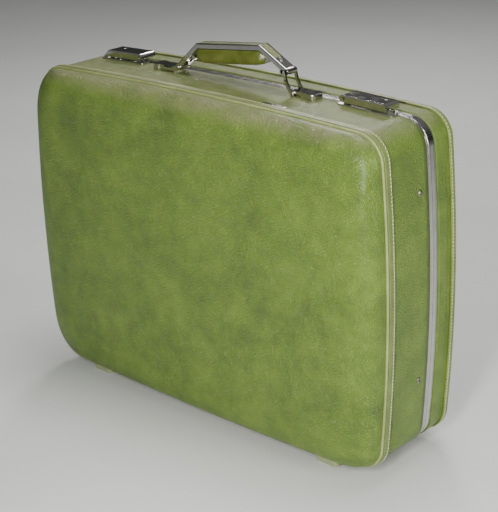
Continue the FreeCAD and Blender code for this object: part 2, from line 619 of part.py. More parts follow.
# ---------------------------------------------------------------- grip, drawn about its pivots' line
grip_span = math.hypot(KNUCKLE_UP[0] + KNUCKLE_DOWN[0], KNUCKLE_UP[1] - KNUCKLE_DOWN[1])
grip_half = grip_span / 2
GRIP_TILT = math.degrees(math.atan2(KNUCKLE_UP[1] - KNUCKLE_DOWN[1],
                                    KNUCKLE_UP[0] + KNUCKLE_DOWN[0]))
slope = math.tan(math.radians(GRIP_ANGLE))
arm_end_x = grip_half + 2.2
arm_end_z = GRIP_TOP - slope * (arm_end_x - GRIP_FLAT)


def lowered(distance, trim=0.0):
    """The grip's top line moved straight inwards by distance, its ends drawn back by trim."""
    bend = math.tan(math.radians(GRIP_ANGLE) / 2) * distance
    cos_a, sin_a = math.cos(math.radians(GRIP_ANGLE)), math.sin(math.radians(GRIP_ANGLE))
    flat = GRIP_FLAT - bend
    end = (arm_end_x - sin_a * distance - cos_a * trim, arm_end_z - cos_a * distance + sin_a * trim)
    return [(-end[0], end[1]), (-flat, GRIP_TOP - distance), (flat, GRIP_TOP - distance), end]


def grip_layer(top, bottom, half, trim=0.0):
    """Layer of the grip between two depths below its top line, across the given half width."""
    outline_points = lowered(top, trim) + lowered(bottom, trim)[::-1]
    return plate(outline_points, HANDLE_Y - half, HANDLE_Y + half)


INLAY_TRIM = 21.0
inlay_half = 5.2
channel = grip_layer(0.0, GRIP_FLANGE, GRIP_HALF)
long_edges = [e for e in channel.Edges
              if e.BoundBox.YLength < 0.01 and e.BoundBox.ZMax > arm_end_z - 0.5
              and all(abs(v.Z - (GRIP_TOP if abs(v.X) < GRIP_FLAT + 1 else arm_end_z)) < 0.1
                      for v in e.Vertexes)]
channel = channel.makeFillet(1.3, long_edges)
channel = channel.cut(grip_layer(GRIP_SKIN, GRIP_FLANGE + 1, GRIP_HALF - 1.4, trim=-3))
channel = channel.cut(grip_layer(-1.0, 0.9, inlay_half, INLAY_TRIM))
SLOT_IN, SLOT_OUT = 4.6, 1.2     # how far the free crossbar may shift along its slot
knuckle_left = cylinder(KNUCKLE_R, V(-grip_half, HANDLE_Y - GRIP_HALF, 0),
                        V(-grip_half, HANDLE_Y + GRIP_HALF, 0))
knuckle_right = strip([(grip_half - SLOT_IN, 0), (grip_half + SLOT_OUT, 0)], 2 * KNUCKLE_R,
                      HANDLE_Y - GRIP_HALF, HANDLE_Y + GRIP_HALF)
bush_r = CROSSBAR_R + RUN_CLEARANCE + 0.9
grip_frame = channel.fuse(knuckle_left).fuse(knuckle_right)
grip_frame = grip_frame.cut(cylinder(bush_r + RUN_CLEARANCE, V(-grip_half, HANDLE_Y - 20, 0),
                                     V(-grip_half, HANDLE_Y + 20, 0)))
grip_frame = grip_frame.cut(strip([(grip_half - SLOT_IN, 0), (grip_half + SLOT_OUT, 0)],
                                  2 * (CROSSBAR_R + 0.6), HANDLE_Y - 20, HANDLE_Y + 20))
rivet_t = INLAY_TRIM - 5.0
RIVET_AT = (arm_end_x - math.cos(math.radians(GRIP_ANGLE)) * rivet_t,
            arm_end_z + math.sin(math.radians(GRIP_ANGLE)) * rivet_t)
grip_rivet = rivet(3.0, 1.3, 1.3, GRIP_SKIN + 0.1, 2.4, 0.8, dimple=1.0)
grip_hole = Part.makeCylinder(1.3 + HOLE_CLEARANCE, 12, V(0, 0, -8))


def on_arm(shape, side):
    return moved(shape, V(side * RIVET_AT[0], HANDLE_Y, RIVET_AT[1]), side * GRIP_ANGLE)


grip_frame = grip_frame.cut(on_arm(grip_hole, 1)).cut(on_arm(grip_hole, -1)).removeSplitter()
grip_rivets = group([on_arm(grip_rivet, 1), on_arm(grip_rivet, -1)])
grip_inlay = grip_layer(0.25, 0.85, inlay_half - 0.1, INLAY_TRIM + 0.1)

pad_top = GRIP_TOP - GRIP_FLANGE - 0.1
pad_low = GRIP_TOP - PAD_DROP
pad_line = [(-60, pad_top - 8.0), (-50, pad_top), (50, pad_top), (60, pad_top - 8.0),
            (46, pad_low), (-46, pad_low)]
pad_body = plate(pad_line, HANDLE_Y - PAD_HALF, HANDLE_Y + PAD_HALF)
pad_body = pad_body.makeFillet(6.0, [e for e in pad_body.Edges
                                     if e.BoundBox.YLength < 0.01 and e.BoundBox.ZMin < pad_low + 1])
grip_pad = max(pad_body.cut(grip_layer(-5, GRIP_FLANGE + 0.1, 30, trim=-3)).Solids,
               key=lambda s: s.Volume)

cap_line = [(60.4, pad_top - 8.4), (64.5, pad_top - 11.5), (60.5, pad_top - 14.5),
            (56.0, pad_top - 12.5)]
end_cap = plate(cap_line, HANDLE_Y - GRIP_HALF + 1.5, HANDLE_Y + GRIP_HALF - 1.5)
end_cap = max(end_cap.cut(grip_layer(-5, GRIP_FLANGE + 0.05, 30, trim=-3)).cut(pad_body).Solids,
              key=lambda s: s.Volume)
grip_end_caps = group([end_cap, mirrored(end_cap)])

bush = cylinder(bush_r, V(-grip_half, HANDLE_Y - GRIP_HALF + 0.3, 0),
                V(-grip_half, HANDLE_Y + GRIP_HALF - 0.3, 0))
bush = bush.cut(cylinder(CROSSBAR_R + RUN_CLEARANCE, V(-grip_half, HANDLE_Y - 20, 0),
                         V(-grip_half, HANDLE_Y + 20, 0)))


def grip_to_case(shape):
    """Carry a grip part from its own frame to where the grip hangs between its two links."""
    placed = shape.copy()
    placed.translate(V((KNUCKLE_UP[0] - KNUCKLE_DOWN[0]) / 2, 0,
                       (KNUCKLE_UP[1] + KNUCKLE_DOWN[1]) / 2))
    placed.rotate(V((KNUCKLE_UP[0] - KNUCKLE_DOWN[0]) / 2, 0,
                    (KNUCKLE_UP[1] + KNUCKLE_DOWN[1]) / 2), V(0, -1, 0), GRIP_TILT)
    return placed


# ---------------------------------------------------------------- latches, drawn flat on the wall
def latch_base():
    """Base channel with two ears for the pivot pin and a guide for the thumb slide."""
    y0, y1 = LATCH_Y0 - 0.8, SPLIT_Y - 4.0
    floor = box(-LATCH_LEN / 2 - 1, LATCH_LEN / 2 + 9, y0, y1, 0.0, 1.5)
    corners = [e for e in floor.Edges if e.BoundBox.ZLength > 1]
    body = floor.makeFillet(2.0, corners)
    for ear_y in (LATCH_Y0 + 2.9, LATCH_Y0 + 8.9):
        ear = box(LATCH_PIVOT_U - 0.8, LATCH_PIVOT_U + 3.6, ear_y, ear_y + 1.6, 1.0, LATCH_PIVOT_W)
        top = Part.makeCylinder(2.6, 1.6, V(LATCH_PIVOT_U, ear_y, LATCH_PIVOT_W), V(0, 1, 0))
        body = body.fuse(ear).fuse(top)
    for guide_y in (LATCH_Y0 + 2.4, LATCH_Y0 + 10.6):
        body = body.fuse(box(LATCH_LEN / 2 + 0.8, LATCH_LEN / 2 + 8, guide_y, guide_y + 1.5,
                             1.0, 4.4))
    body = body.cut(cylinder(LATCH_PIN_R + HOLE_CLEARANCE, V(LATCH_PIVOT_U, 0, LATCH_PIVOT_W),
                             V(LATCH_PIVOT_U, 40, LATCH_PIVOT_W)))
    return body.removeSplitter()


LEVER_LOW = 3.6
NOSE_LOW = LATCH_PIVOT_W - 0.6
LEVER_SKIN = 1.4


def lever_profile(inset):
    """Side view of the lever: round about the pivot, flat on top, sloping at the free end."""
    low = LEVER_LOW if inset == 0 else LEVER_LOW - 3
    out = LATCH_LEN / 2 - inset
    top = LATCH_H - inset
    shape = plate([(LATCH_PIVOT_U, low), (out, low), (out, top - 3.0), (out - 4.0, top),
                   (LATCH_PIVOT_U, top)], LATCH_Y0 + inset, LATCH_Y1 - inset)
    nose_r = top - LATCH_PIVOT_W
    nose = Part.makeCylinder(nose_r, LATCH_Y1 - LATCH_Y0 - 2 * inset,
                             V(LATCH_PIVOT_U, LATCH_Y0 + inset, LATCH_PIVOT_W), V(0, 1, 0))
    keep = box(-60, 60, 0, 60, NOSE_LOW - 3 * inset, 40)
    return shape.fuse(nose.common(keep)).removeSplitter()


LOCK_U, LOCK_R = 18.5, 3.2
LOCK_Y = LATCH_Y1 - 6.3


def latch_lever():
    """Chrome cover lever, hollow underneath, with a bevelled front edge and a notch at the back."""
    outer = lever_profile(0.0)
    wedge = Part.Face(Part.makePolygon([V(-60, LATCH_Y0 - 1, LATCH_H - 2.4),
                                        V(-60, LATCH_Y0 + 3.4, LATCH_H + 2.0),
                                        V(-60, LATCH_Y0 - 1, LATCH_H + 2.0),
                                        V(-60, LATCH_Y0 - 1, LATCH_H - 2.4)]))
    outer = outer.cut(wedge.extrude(V(120, 0, 0)))
    body = outer.cut(lever_profile(LEVER_SKIN + 0.2))
    web = box(LATCH_PIVOT_U - 3.5, LATCH_PIVOT_U + 6, LATCH_Y0 + 11.9, LATCH_Y0 + 13.4,
              LATCH_PIVOT_W - 3.5, LATCH_H - 1)
    web = web.common(lever_profile(0.0))
    body = body.fuse(web)
    body = body.cut(box(-14, 14, LATCH_Y1 - 3, LATCH_Y1 + 1, 0, LATCH_H - 3.6))
    body = body.cut(cylinder(LATCH_PIN_R + RUN_CLEARANCE, V(LATCH_PIVOT_U, 0, LATCH_PIVOT_W),
                             V(LATCH_PIVOT_U, LATCH_Y0 + 14.5, LATCH_PIVOT_W)))
    body = body.cut(Part.makeCylinder(LOCK_R + RUN_CLEARANCE, 10, V(LOCK_U, LOCK_Y, LATCH_H - 5)))
    return max(body.removeSplitter().Solids, key=lambda s: s.Volume)


def latch_pin():
    shank = cylinder(LATCH_PIN_R, V(LATCH_PIVOT_U, LATCH_Y0 - 0.5, LATCH_PIVOT_W),
                     V(LATCH_PIVOT_U, LATCH_Y0 + 14.1, LATCH_PIVOT_W))
    head = cylinder(2.5, V(LATCH_PIVOT_U, LATCH_Y0 - 1.5, LATCH_PIVOT_W),
                    V(LATCH_PIVOT_U, LATCH_Y0 - 0.4, LATCH_PIVOT_W))
    return shank.fuse(head).removeSplitter()


def latch_slide():
    """Thumb slide at the free end: a tongue under the lever and a ribbed tab outside it."""
    end = LATCH_LEN / 2
    y0 = LATCH_Y0 + 4.5
    tongue = box(end - 12, end + 4, y0, y0 + 5.4, 1.6, 3.0)
    tab = box(end + 1.0, end + 6.5, y0 - 0.3, y0 + 5.8, 1.6, 6.4)
    slide = tongue.fuse(tab)
    for k in range(3):
        slide = slide.cut(box(end + 2.0 + 1.5 * k, end + 2.6 + 1.5 * k, y0 - 1, y0 + 7, 5.9, 7))
    return slide.removeSplitter()


def lock_plug():
    face = Part.makeCylinder(LOCK_R, LEVER_SKIN + 2.2, V(LOCK_U, LOCK_Y, LATCH_H - LEVER_SKIN - 2.0))
    keyway = box(LOCK_U - 0.4, LOCK_U + 0.4, LOCK_Y - 2, LOCK_Y + 2, LATCH_H - 1.6, LATCH_H + 1)
    cam = box(LOCK_U - 1.2, LOCK_U + 3.8, LOCK_Y - 1.2, LOCK_Y + 1.2,
              LATCH_H - LEVER_SKIN - 3.2, LATCH_H - LEVER_SKIN - 1.8)
    return face.cut(keyway).fuse(cam).removeSplitter()


def striker():
    """Tab on the lid's rim, under the lever's rear notch."""
    foot_plate = box(-12, 12, SPLIT_Y + 1.2, SPLIT_Y + 8.0, -RIM_RECESS + 0.15, 0.9)
    hook = box(-9, 9, SPLIT_Y + 3.4, SPLIT_Y + 4.9, 0.0, 6.0)
    return foot_plate.fuse(hook).cut(on_rim()).removeSplitter()


def on_rim():
    """The lid's rim as seen from the latch's own frame."""
    rim = form([(SPLIT_Y - 5, -RIM_RECESS + 0.05), (SPLIT_Y + 20, -RIM_RECESS + 0.05)])
    turn = math.degrees(math.asin(LATCH_X / TOP_R))
    place = FreeCAD.Placement(V(LATCH_X, 0, top_z(LATCH_X)), FreeCAD.Rotation(V(0, 1, 0), turn))
    rim.transformShape(place.inverse().toMatrix(), True)
    return rim


LATCH_RIVETS = ((-16.0, LATCH_Y0 + 3.5), (10.0, LATCH_Y0 + 3.5), (-4.0, LATCH_Y0 + 9.5))
latch_rivet_shape = rivet(2.6, 1.2, 1.5, WALL + 3.3, 2.4, 0.5)


def latch_rivet(u, y):
    placed = latch_rivet_shape.copy()
    placed.translate(V(u, y, 1.55))
    return placed


def latch_hole(u, y):
    return Part.makeCylinder(1.5 + HOLE_CLEARANCE, 14, V(u, y, -10))


# Depth of the base's rivets is set by the rim flange behind the wall.
base = latch_base()
for u, y in LATCH_RIVETS:
    base = base.cut(latch_hole(u, y))
latch_parts = {
    "latch_base": base,
    "latch_lever": latch_lever(),
    "latch_pin": latch_pin(),
    "latch_slide": latch_slide(),
    "lock_plug": lock_plug(),
    "latch_striker": striker(),
}
latch_parts = {name: on_top(shape, LATCH_X) for name, shape in latch_parts.items()}
latch_rivets = []
latch_holes = []
for u, y in LATCH_RIVETS:
    for shape, store in ((latch_rivet(u, y), latch_rivets), (latch_hole(u, y), latch_holes)):
        placed = on_top(shape, LATCH_X)
        store += [placed, mirrored(placed)]

# ---------------------------------------------------------------- blank nameplate
PLATE_X, PLATE_Y = 108.0, FRONT_DOME_Y + 17.8
plate_body = box(-17.5, 17.5, -3.0, 3.0, 0.05, 1.4)
plate_body = plate_body.makeFillet(2.4, [e for e in plate_body.Edges if e.BoundBox.ZLength > 1])
plate_body = plate_body.makeFillet(0.5, [e for e in plate_body.Edges if e.BoundBox.ZMin > 1.3])
for x in (-11.0, 11.0):
    plate_body = plate_body.fuse(Part.makeCylinder(0.9, WALL + 1.5, V(x, 0, -WALL - 1.0)))
nameplate = on_top(plate_body.removeSplitter(), PLATE_X, PLATE_Y)
plate_holes = [on_top(Part.makeCylinder(0.9 + HOLE_CLEARANCE, 12, V(x, 0, -9)), PLATE_X, PLATE_Y)
               for x in (-11.0, 11.0)]

# ---------------------------------------------------------------- holes through walls and rims
def both(shape):
    return [shape, mirrored(shape)]


front_feet = [front_foot, mirrored(front_foot)]
lid_feet = [lid_foot, mirrored(lid_foot)]
front_hinge_holes = [hinge_hole(x, y) for x, y in hinge_rivet_spots if y < SPLIT_Y]
lid_hinge_holes = [hinge_hole(x, y) for x, y in hinge_rivet_spots if y > SPLIT_Y]


def drilled(shape, holes):
    return shape.cut(holes).removeSplitter() if holes else shape


front_drills = (strap_holes + bracket_holes + latch_holes + plate_holes + front_hinge_holes
                + both(screw_hole(SCREW_Y_FRONT)))
lid_drills = lid_hinge_holes + both(screw_hole(SCREW_Y_LID))

nodes["front_shell"] = drilled(front_shell, front_drills)
nodes["front_lining"] = drilled(front_lining, [
    on for z in STRAP_Z for on in both(on_right(Part.makeCylinder(2.2, 30, V(0, 0, -25)),
                                                STRAP_Y, z))])
nodes["front_welt"] = drilled(front_welt, both(screw_hole(SCREW_Y_FRONT)))
nodes["front_piping"] = front_piping
nodes["front_binding"] = front_binding
nodes["front_frame"] = drilled(front_frame.cut(group(both(backing_cut))), strap_holes
                               + latch_holes + front_hinge_holes)
nodes["front_feet"] = group(front_feet)
nodes["front_foot_screws"] = group(both(front_screw))
nodes["hinge_leaf_front"] = group([drilled(s[0], front_hinge_holes) for s in hinge_sets])
nodes["hinge_pins"] = group([s[2] for s in hinge_sets])
nodes["hinge_rivets_front"] = group([hinge_rivet(x, y) for x, y in hinge_rivet_spots
                                     if y < SPLIT_Y])
nodes["strap_rivets"] = group(strap_rivets)
nodes.update(straps)
nodes["strap_buckles"] = group(buckles)
nodes["nameplate"] = nameplate
nodes["handle_bracket_right"] = drilled(bracket, bracket_holes)
nodes["handle_bracket_left"] = mirrored(nodes["handle_bracket_right"])
nodes["handle_backing_plates"] = group(both(drilled(backing, bracket_holes)))
nodes["handle_rivets"] = group(bracket_rivets)
nodes["handle_link_right"] = link_up
nodes["handle_link_left"] = mirrored(link_down)
nodes["handle_bush"] = grip_to_case(bush)
nodes["grip_frame"] = grip_to_case(grip_frame)
nodes["grip_pad"] = grip_to_case(grip_pad)
nodes["grip_inlay"] = grip_to_case(grip_inlay)
nodes["grip_end_caps"] = grip_to_case(grip_end_caps)
nodes["grip_rivets"] = grip_to_case(grip_rivets)
for name, shape in latch_parts.items():
    nodes[name + "_right"] = shape
    nodes[name + "_left"] = mirrored(shape)
nodes["latch_rivets"] = group(latch_rivets)

nodes["lid_shell"] = drilled(lid_shell, lid_drills)
nodes["lid_lining"] = lid_lining
nodes["lid_welt"] = lid_welt
nodes["lid_frame"] = drilled(lid_frame, lid_hinge_holes)
nodes["lid_pocket"] = lid_pocket
nodes["lid_feet"] = group(lid_feet)
nodes["lid_foot_screws"] = group(both(lid_screw))
nodes["hinge_leaf_lid"] = group([drilled(s[1], lid_hinge_holes) for s in hinge_sets])
nodes["hinge_rivets_lid"] = group([hinge_rivet(x, y) for x, y in hinge_rivet_spots
                                   if y > SPLIT_Y])

# ---------------------------------------------------------------- write
os.makedirs("parts", exist_ok=True)
for name, shape in nodes.items():
    shape.exportStep("parts/" + name + ".step")

pivot = on_top(Part.Vertex(V(LATCH_PIVOT_U, 0, LATCH_PIVOT_W)), LATCH_X).Point
plug = on_top(Part.Vertex(V(LOCK_U, LOCK_Y, LATCH_H)), LATCH_X).Point
print("nodes", len(nodes))
print("pole", POLE, "link turn", LINK_TURN, "grip tilt", GRIP_TILT, "slot radius", slot_radius)
print("latch pivot", tuple(pivot), "lock plug", tuple(plug), "wall turn deg",
      math.degrees(math.asin(LATCH_X / TOP_R)))
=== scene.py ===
"""Looks of the vinyl clamshell suitcase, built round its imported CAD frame. Metres, +Z up, front faces -Y."""

import json
import math

import bpy
from mathutils import Matrix, Vector, noise


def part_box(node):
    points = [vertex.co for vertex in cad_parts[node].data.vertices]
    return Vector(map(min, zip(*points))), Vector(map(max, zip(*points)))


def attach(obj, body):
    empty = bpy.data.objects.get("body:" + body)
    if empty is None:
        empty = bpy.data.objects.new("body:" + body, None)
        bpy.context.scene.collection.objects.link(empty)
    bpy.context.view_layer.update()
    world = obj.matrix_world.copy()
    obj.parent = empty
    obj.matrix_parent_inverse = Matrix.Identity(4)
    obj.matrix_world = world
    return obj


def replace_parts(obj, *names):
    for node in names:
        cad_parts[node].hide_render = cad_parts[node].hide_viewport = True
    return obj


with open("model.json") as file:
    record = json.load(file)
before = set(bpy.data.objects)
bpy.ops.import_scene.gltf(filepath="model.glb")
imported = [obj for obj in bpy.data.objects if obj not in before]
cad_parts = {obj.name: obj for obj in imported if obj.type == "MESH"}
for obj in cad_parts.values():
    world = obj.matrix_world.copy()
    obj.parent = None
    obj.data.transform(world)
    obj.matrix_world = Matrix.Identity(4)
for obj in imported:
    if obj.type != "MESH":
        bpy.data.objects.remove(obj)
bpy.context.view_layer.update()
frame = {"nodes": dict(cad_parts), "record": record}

# ---------------------------------------------------------------- the case's own sizes, metres
HALF_W = 0.280            # end walls from the middle
HALF_H = 0.204            # top and bottom walls from the middle
MID_Z = 0.212             # height of the middle of the case
CORNER_R = 0.0324
SIDE_BOW = 0.0110
TOP_BOW = 0.0067
WALL = 0.003
SPLIT_Y = 0.0245
FRONT_DOME_Y = -0.061
FRONT_RUN = 0.045
FRONT_RISE = 0.0285
FRONT_POWER = 2.7
LID_STEP_Y = 0.0525
LID_DOME_Y = 0.069
LID_TAPER = 0.0006
LID_RUN = 0.060
LID_RISE = 0.0205
CROWN = 0.002
CROWN_RUN = 0.090
FACE_CORNER_R = 0.068
LINING_OUT = WALL + 0.0024
LINING = 0.0008
WALL_END_Y = SPLIT_Y - 0.006
LID_MOUTH = SPLIT_Y + 0.012
SIDE_R = (HALF_H ** 2 + SIDE_BOW ** 2) / (2 * SIDE_BOW)
TOP_R = (HALF_W ** 2 + TOP_BOW ** 2) / (2 * TOP_BOW)
SIDE_CX = HALF_W - SIDE_R
TOP_CZ = HALF_H - TOP_R


# ---------------------------------------------------------------- outline of the case
def corner_centre(off, radius):
    """Centre of the corner arc that is tangent to the bowed side and the bowed top."""
    a = SIDE_R + off - radius
    b = TOP_R + off - radius
    span = math.hypot(SIDE_CX, TOP_CZ)
    ux, uz = -SIDE_CX / span, TOP_CZ / span
    along = (a * a - b * b + span * span) / (2 * span)
    up = math.sqrt(max(a * a - along * along, 0.0))
    return SIDE_CX + along * ux - up * uz, along * uz + up * ux


def quarter(off, radius, counts):
    """Points and normals of one quarter of the outline, from the right end up to the top middle."""
    px, pz = corner_centre(off, radius)
    side_turn = math.atan2(pz, px - SIDE_CX)
    top_turn = math.atan2(px, pz - TOP_CZ)
    n_side, n_corner, n_top = counts
    rows = []
    for i in range(n_side):
        t = side_turn * i / n_side
        r = SIDE_R + off
        rows.append((SIDE_CX + r * math.cos(t), r * math.sin(t), math.cos(t), math.sin(t)))
    for i in range(n_corner):
        t = side_turn + (math.pi / 2 - top_turn - side_turn) * i / n_corner
        rows.append((px + radius * math.cos(t), pz + radius * math.sin(t), math.cos(t), math.sin(t)))
    for i in range(n_top):
        t = math.pi / 2 - top_turn * (1 - i / n_top)
        r = TOP_R + off
        rows.append((r * math.cos(t), TOP_CZ + r * math.sin(t), math.cos(t), math.sin(t)))
    rows.append((0.0, HALF_H + off, 0.0, 1.0))
    return rows


COUNTS = (22, 20, 30)


def outline(off, radius=None, counts=COUNTS):
    """Closed list of (x, z, normal x, normal z) round the case, offset by off."""
    rows = quarter(off, CORNER_R + off if radius is None else radius, counts)
    left = [(-x, z, -nx, nz) for x, z, nx, nz in reversed(rows[:-1])]
    upper = rows + left
    lower = [(x, -z, nx, -nz) for x, z, nx, nz in reversed(upper[1:-1])]
    return [(x, z + MID_Z, nx, nz) for x, z, nx, nz in upper + lower]


# ---------------------------------------------------------------- profiles from wall to face
def shoulder(y0, sign, off, run, rise, power, crown, steps=30):
    """(y, offset, corner radius) from the end of a wall over the shoulder to the face."""
    rows = [(y0, off, CORNER_R + off)]
    for i in range(1, steps + 1):
        if power:
            t = math.pi / 2 * i / steps
            depth = rise * math.sin(t) ** (2 / power)
            inward = run * (1 - math.cos(t) ** (2 / power))
        else:
            t = i / steps
            inward = run * t
            depth = rise * (1 - (1 - t) ** 2)
        radius = CORNER_R + off + (FACE_CORNER_R - CORNER_R - off) * (depth / rise) ** 1.3
        rows.append((y0 + sign * depth, off - inward, radius))
    for i in range(1, 9):
        t = i / 8
        depth = rise + crown * (1 - (1 - t) ** 2)
        rows.append((y0 + sign * depth, off - run - CROWN_RUN * t, FACE_CORNER_R - 0.012 * t))
    return rows


def front_rows(inset, mouth_y):
    """Profile of the front shell, inset from its outer surface."""
    wall = [(mouth_y + (FRONT_DOME_Y - mouth_y) * i / 12, -inset, None) for i in range(12)]
    return wall + shoulder(FRONT_DOME_Y, -1, -inset, FRONT_RUN - inset, FRONT_RISE - inset,
                           FRONT_POWER, CROWN)


def lid_lean(y):
    """Offset of the lid's very slightly leaning wall at y."""
    return -LID_TAPER * max(0.0, y - LID_MOUTH) / (LID_DOME_Y - LID_MOUTH)


STEP_DEPTH = 0.0005


def lid_rows(inset, mouth_y, stepped=False):
    """Profile of the lid, inset from its outer surface, with the step line in its wall."""
    rows = [(mouth_y, -inset, None)] if mouth_y < LID_MOUTH else []
    count = 14
    for i in range(count):
        y = LID_MOUTH + (LID_DOME_Y - LID_MOUTH) * i / count
        inner = STEP_DEPTH * smooth_step((y - LID_STEP_Y) / 0.0012) if stepped else 0.0
        rows.append((y, lid_lean(y) - inset - inner, None))
    if stepped:
        for y in (LID_STEP_Y - 0.0002, LID_STEP_Y + 0.0004, LID_STEP_Y + 0.0012):
            inner = STEP_DEPTH * smooth_step((y - LID_STEP_Y) / 0.0012)
            rows.append((y, lid_lean(y) - inset - inner, None))
        rows.sort(key=lambda r: r[0])
    return rows + shoulder(LID_DOME_Y, 1, -LID_TAPER - inset, LID_RUN - 0.6 * inset,
                           LID_RISE - inset, None, CROWN)


def smooth_step(t):
    t = min(max(t, 0.0), 1.0)
    return t * t * (3 - 2 * t)


# ---------------------------------------------------------------- mesh helpers
def make_mesh(name, verts, faces, smooth=True):
    mesh = bpy.data.meshes.new(name)
    mesh.from_pydata(verts, [], faces)
    mesh.validate()
    mesh.update()
    if smooth:
        mesh.polygons.foreach_set("use_smooth", [True] * len(mesh.polygons))
    piece = bpy.data.objects.new(name, mesh)
    bpy.context.scene.collection.objects.link(piece)
    return piece


def loft_points(rows):
    """Rings of points for each profile row; the last row's face is closed later by close_face, with rings that
    shrink to a point.
    """
    rings = []
    for y, off, radius in rows:
        rings.append([Vector((x, y, z)) for x, z, _, _ in outline(off, radius)])
    return rings


def close_face(rings, crown):
    """Adds rings that shrink towards the middle of the face, and returns its middle point."""
    last = rings[-1]
    y = last[0].y
    sign = 1 if y > 0 else -1
    for i in range(1, 7):
        k = 1 - i / 7
        rise = sign * crown * (1 - k * k)
        rings.append([Vector((p.x * k, y + rise, MID_Z + (p.z - MID_Z) * k)) for p in last])
    return Vector((0, y + sign * crown, MID_Z))


def skin_faces(first, rings, flip):
    """Quads between consecutive rings whose points start at index first."""
    count = len(rings[0])
    faces = []
    for r in range(len(rings) - 1):
        a, b = first + r * count, first + (r + 1) * count
        for i in range(count):
            j = (i + 1) % count
            quad = (a + i, a + j, b + j, b + i)
            faces.append(quad[::-1] if flip else quad)
    return faces


def shell_piece(name, outer_rows, inner_rows, relief=None):
    """Closed thin shell between two profiles that share their mouth."""
    verts, faces = [], []
    starts = []
    for rows, inner in ((outer_rows, False), (inner_rows, True)):
        rings = loft_points(rows)
        tip = close_face(rings, 0.0004)
        if relief and not inner:
            rings = relief(rings)
        toward_lid = rows[-1][0] > 0
        flip = toward_lid == inner
        first = len(verts)
        starts.append(first)
        for ring in rings:
            verts += ring
        faces += skin_faces(first, rings, flip)
        count = len(rings[0])
        last = first + (len(rings) - 1) * count
        verts.append(tip)
        for i in range(count):
            tri = (last + i, last + (i + 1) % count, len(verts) - 1)
            faces.append(tri[::-1] if flip else tri)
    count = len(outline(0.0))
    toward_lid = outer_rows[-1][0] > 0
    for i in range(count):
        j = (i + 1) % count
        quad = (starts[0] + i, starts[1] + i, starts[1] + j, starts[0] + j)
        faces.append(quad[::-1] if not toward_lid else quad)
    return make_mesh(name, verts, faces)


# ---------------------------------------------------------------- materials
def new_material(name):
    material = bpy.data.materials.new(name)
    material.use_nodes = True
    tree = material.node_tree
    shader = tree.nodes["Principled BSDF"]
    return material, tree, shader


class Tree:
    """Short names for building a node tree."""

    def __init__(self, name):
        self.material, self.tree, self.shader = new_material(name)
        self.place = self.add("ShaderNodeTexCoord").outputs["Object"]

    def add(self, kind, **settings):
        node = self.tree.nodes.new(kind)
        for key, value in settings.items():
            setattr(node, key, value)
        return node

    def link(self, source, target):
        self.tree.links.new(source, target)

    def noise(self, scale, detail=4.0, rough=0.55, place=None, distortion=0.0):
        node = self.add("ShaderNodeTexNoise")
        node.inputs["Scale"].default_value = scale
        node.inputs["Detail"].default_value = detail
        node.inputs["Roughness"].default_value = rough
        node.inputs["Distortion"].default_value = distortion
        self.link(place or self.place, node.inputs["Vector"])
        return node.outputs["Fac"]

    def voronoi(self, scale, feature="F1", place=None, randomness=1.0, output="Distance"):
        node = self.add("ShaderNodeTexVoronoi", feature=feature)
        node.inputs["Scale"].default_value = scale
        node.inputs["Randomness"].default_value = randomness
        self.link(place or self.place, node.inputs["Vector"])
        return node.outputs[output]

    def ramp(self, fac, stops):
        node = self.add("ShaderNodeValToRGB")
        ramp = node.color_ramp
        while len(ramp.elements) < len(stops):
            ramp.elements.new(0.5)
        for element, (at, colour) in zip(ramp.elements, stops):
            element.position = at
            element.color = (*colour, 1.0) if len(colour) == 3 else colour
        self.link(fac, node.inputs["Fac"])
        return node.outputs["Color"]

    def levels(self, fac, low, high, to_low=0.0, to_high=1.0):
        node = self.add("ShaderNodeMapRange", clamp=True)
        node.inputs["From Min"].default_value = low
        node.inputs["From Max"].default_value = high
        node.inputs["To Min"].default_value = to_low
        node.inputs["To Max"].default_value = to_high
        self.link(fac, node.inputs["Value"])
        return node.outputs["Result"]

    def math(self, operation, a, b=None):
        node = self.add("ShaderNodeMath", operation=operation)
        for slot, value in zip(node.inputs, (a, b)):
            if value is None:
                continue
            if isinstance(value, (int, float)):
                slot.default_value = value
            else:
                self.link(value, slot)
        return node.outputs["Value"]

    def mix(self, fac, a, b, blend="MIX"):
        node = self.add("ShaderNodeMix", data_type="RGBA", blend_type=blend)
        factor = next(s for s in node.inputs if s.name == "Factor" and s.type == "VALUE")
        first = next(s for s in node.inputs if s.name == "A" and s.type == "RGBA")
        second = next(s for s in node.inputs if s.name == "B" and s.type == "RGBA")
        for slot, value in ((factor, fac), (first, a), (second, b)):
            if isinstance(value, tuple):
                slot.default_value = (*value, 1.0)
            elif isinstance(value, (int, float)):
                slot.default_value = value
            else:
                self.link(value, slot)
        return next(s for s in node.outputs if s.type == "RGBA")

    def bump(self, height, distance, strength=1.0, under=None):
        node = self.add("ShaderNodeBump")
        node.inputs["Distance"].default_value = distance
        node.inputs["Strength"].default_value = strength
        self.link(height, node.inputs["Height"])
        if under is not None:
            self.link(under, node.inputs["Normal"])
        return node.outputs["Normal"]

    def axis(self, name):
        node = self.add("ShaderNodeSeparateXYZ")
        self.link(self.place, node.inputs["Vector"])
        return node.outputs[name]

    def stretched(self, scale):
        node = self.add("ShaderNodeMapping")
        node.inputs["Scale"].default_value = scale
        self.link(self.place, node.inputs["Vector"])
        return node.outputs["Vector"]

    def finish(self, colour, roughness, normal=None, metallic=0.0, **uniform):
        for key, value in (("Base Color", colour), ("Roughness", roughness), ("Normal", normal)):
            slot = self.shader.inputs[key]
            if value is None:
                continue
            if isinstance(value, tuple):
                slot.default_value = (*value, 1.0)
            elif isinstance(value, (int, float)):
                slot.default_value = value
            else:
                self.link(value, slot)
        self.shader.inputs["Metallic"].default_value = metallic
        for key, value in uniform.items():
            self.shader.inputs[key.replace("_", " ")].default_value = value
        return self.material


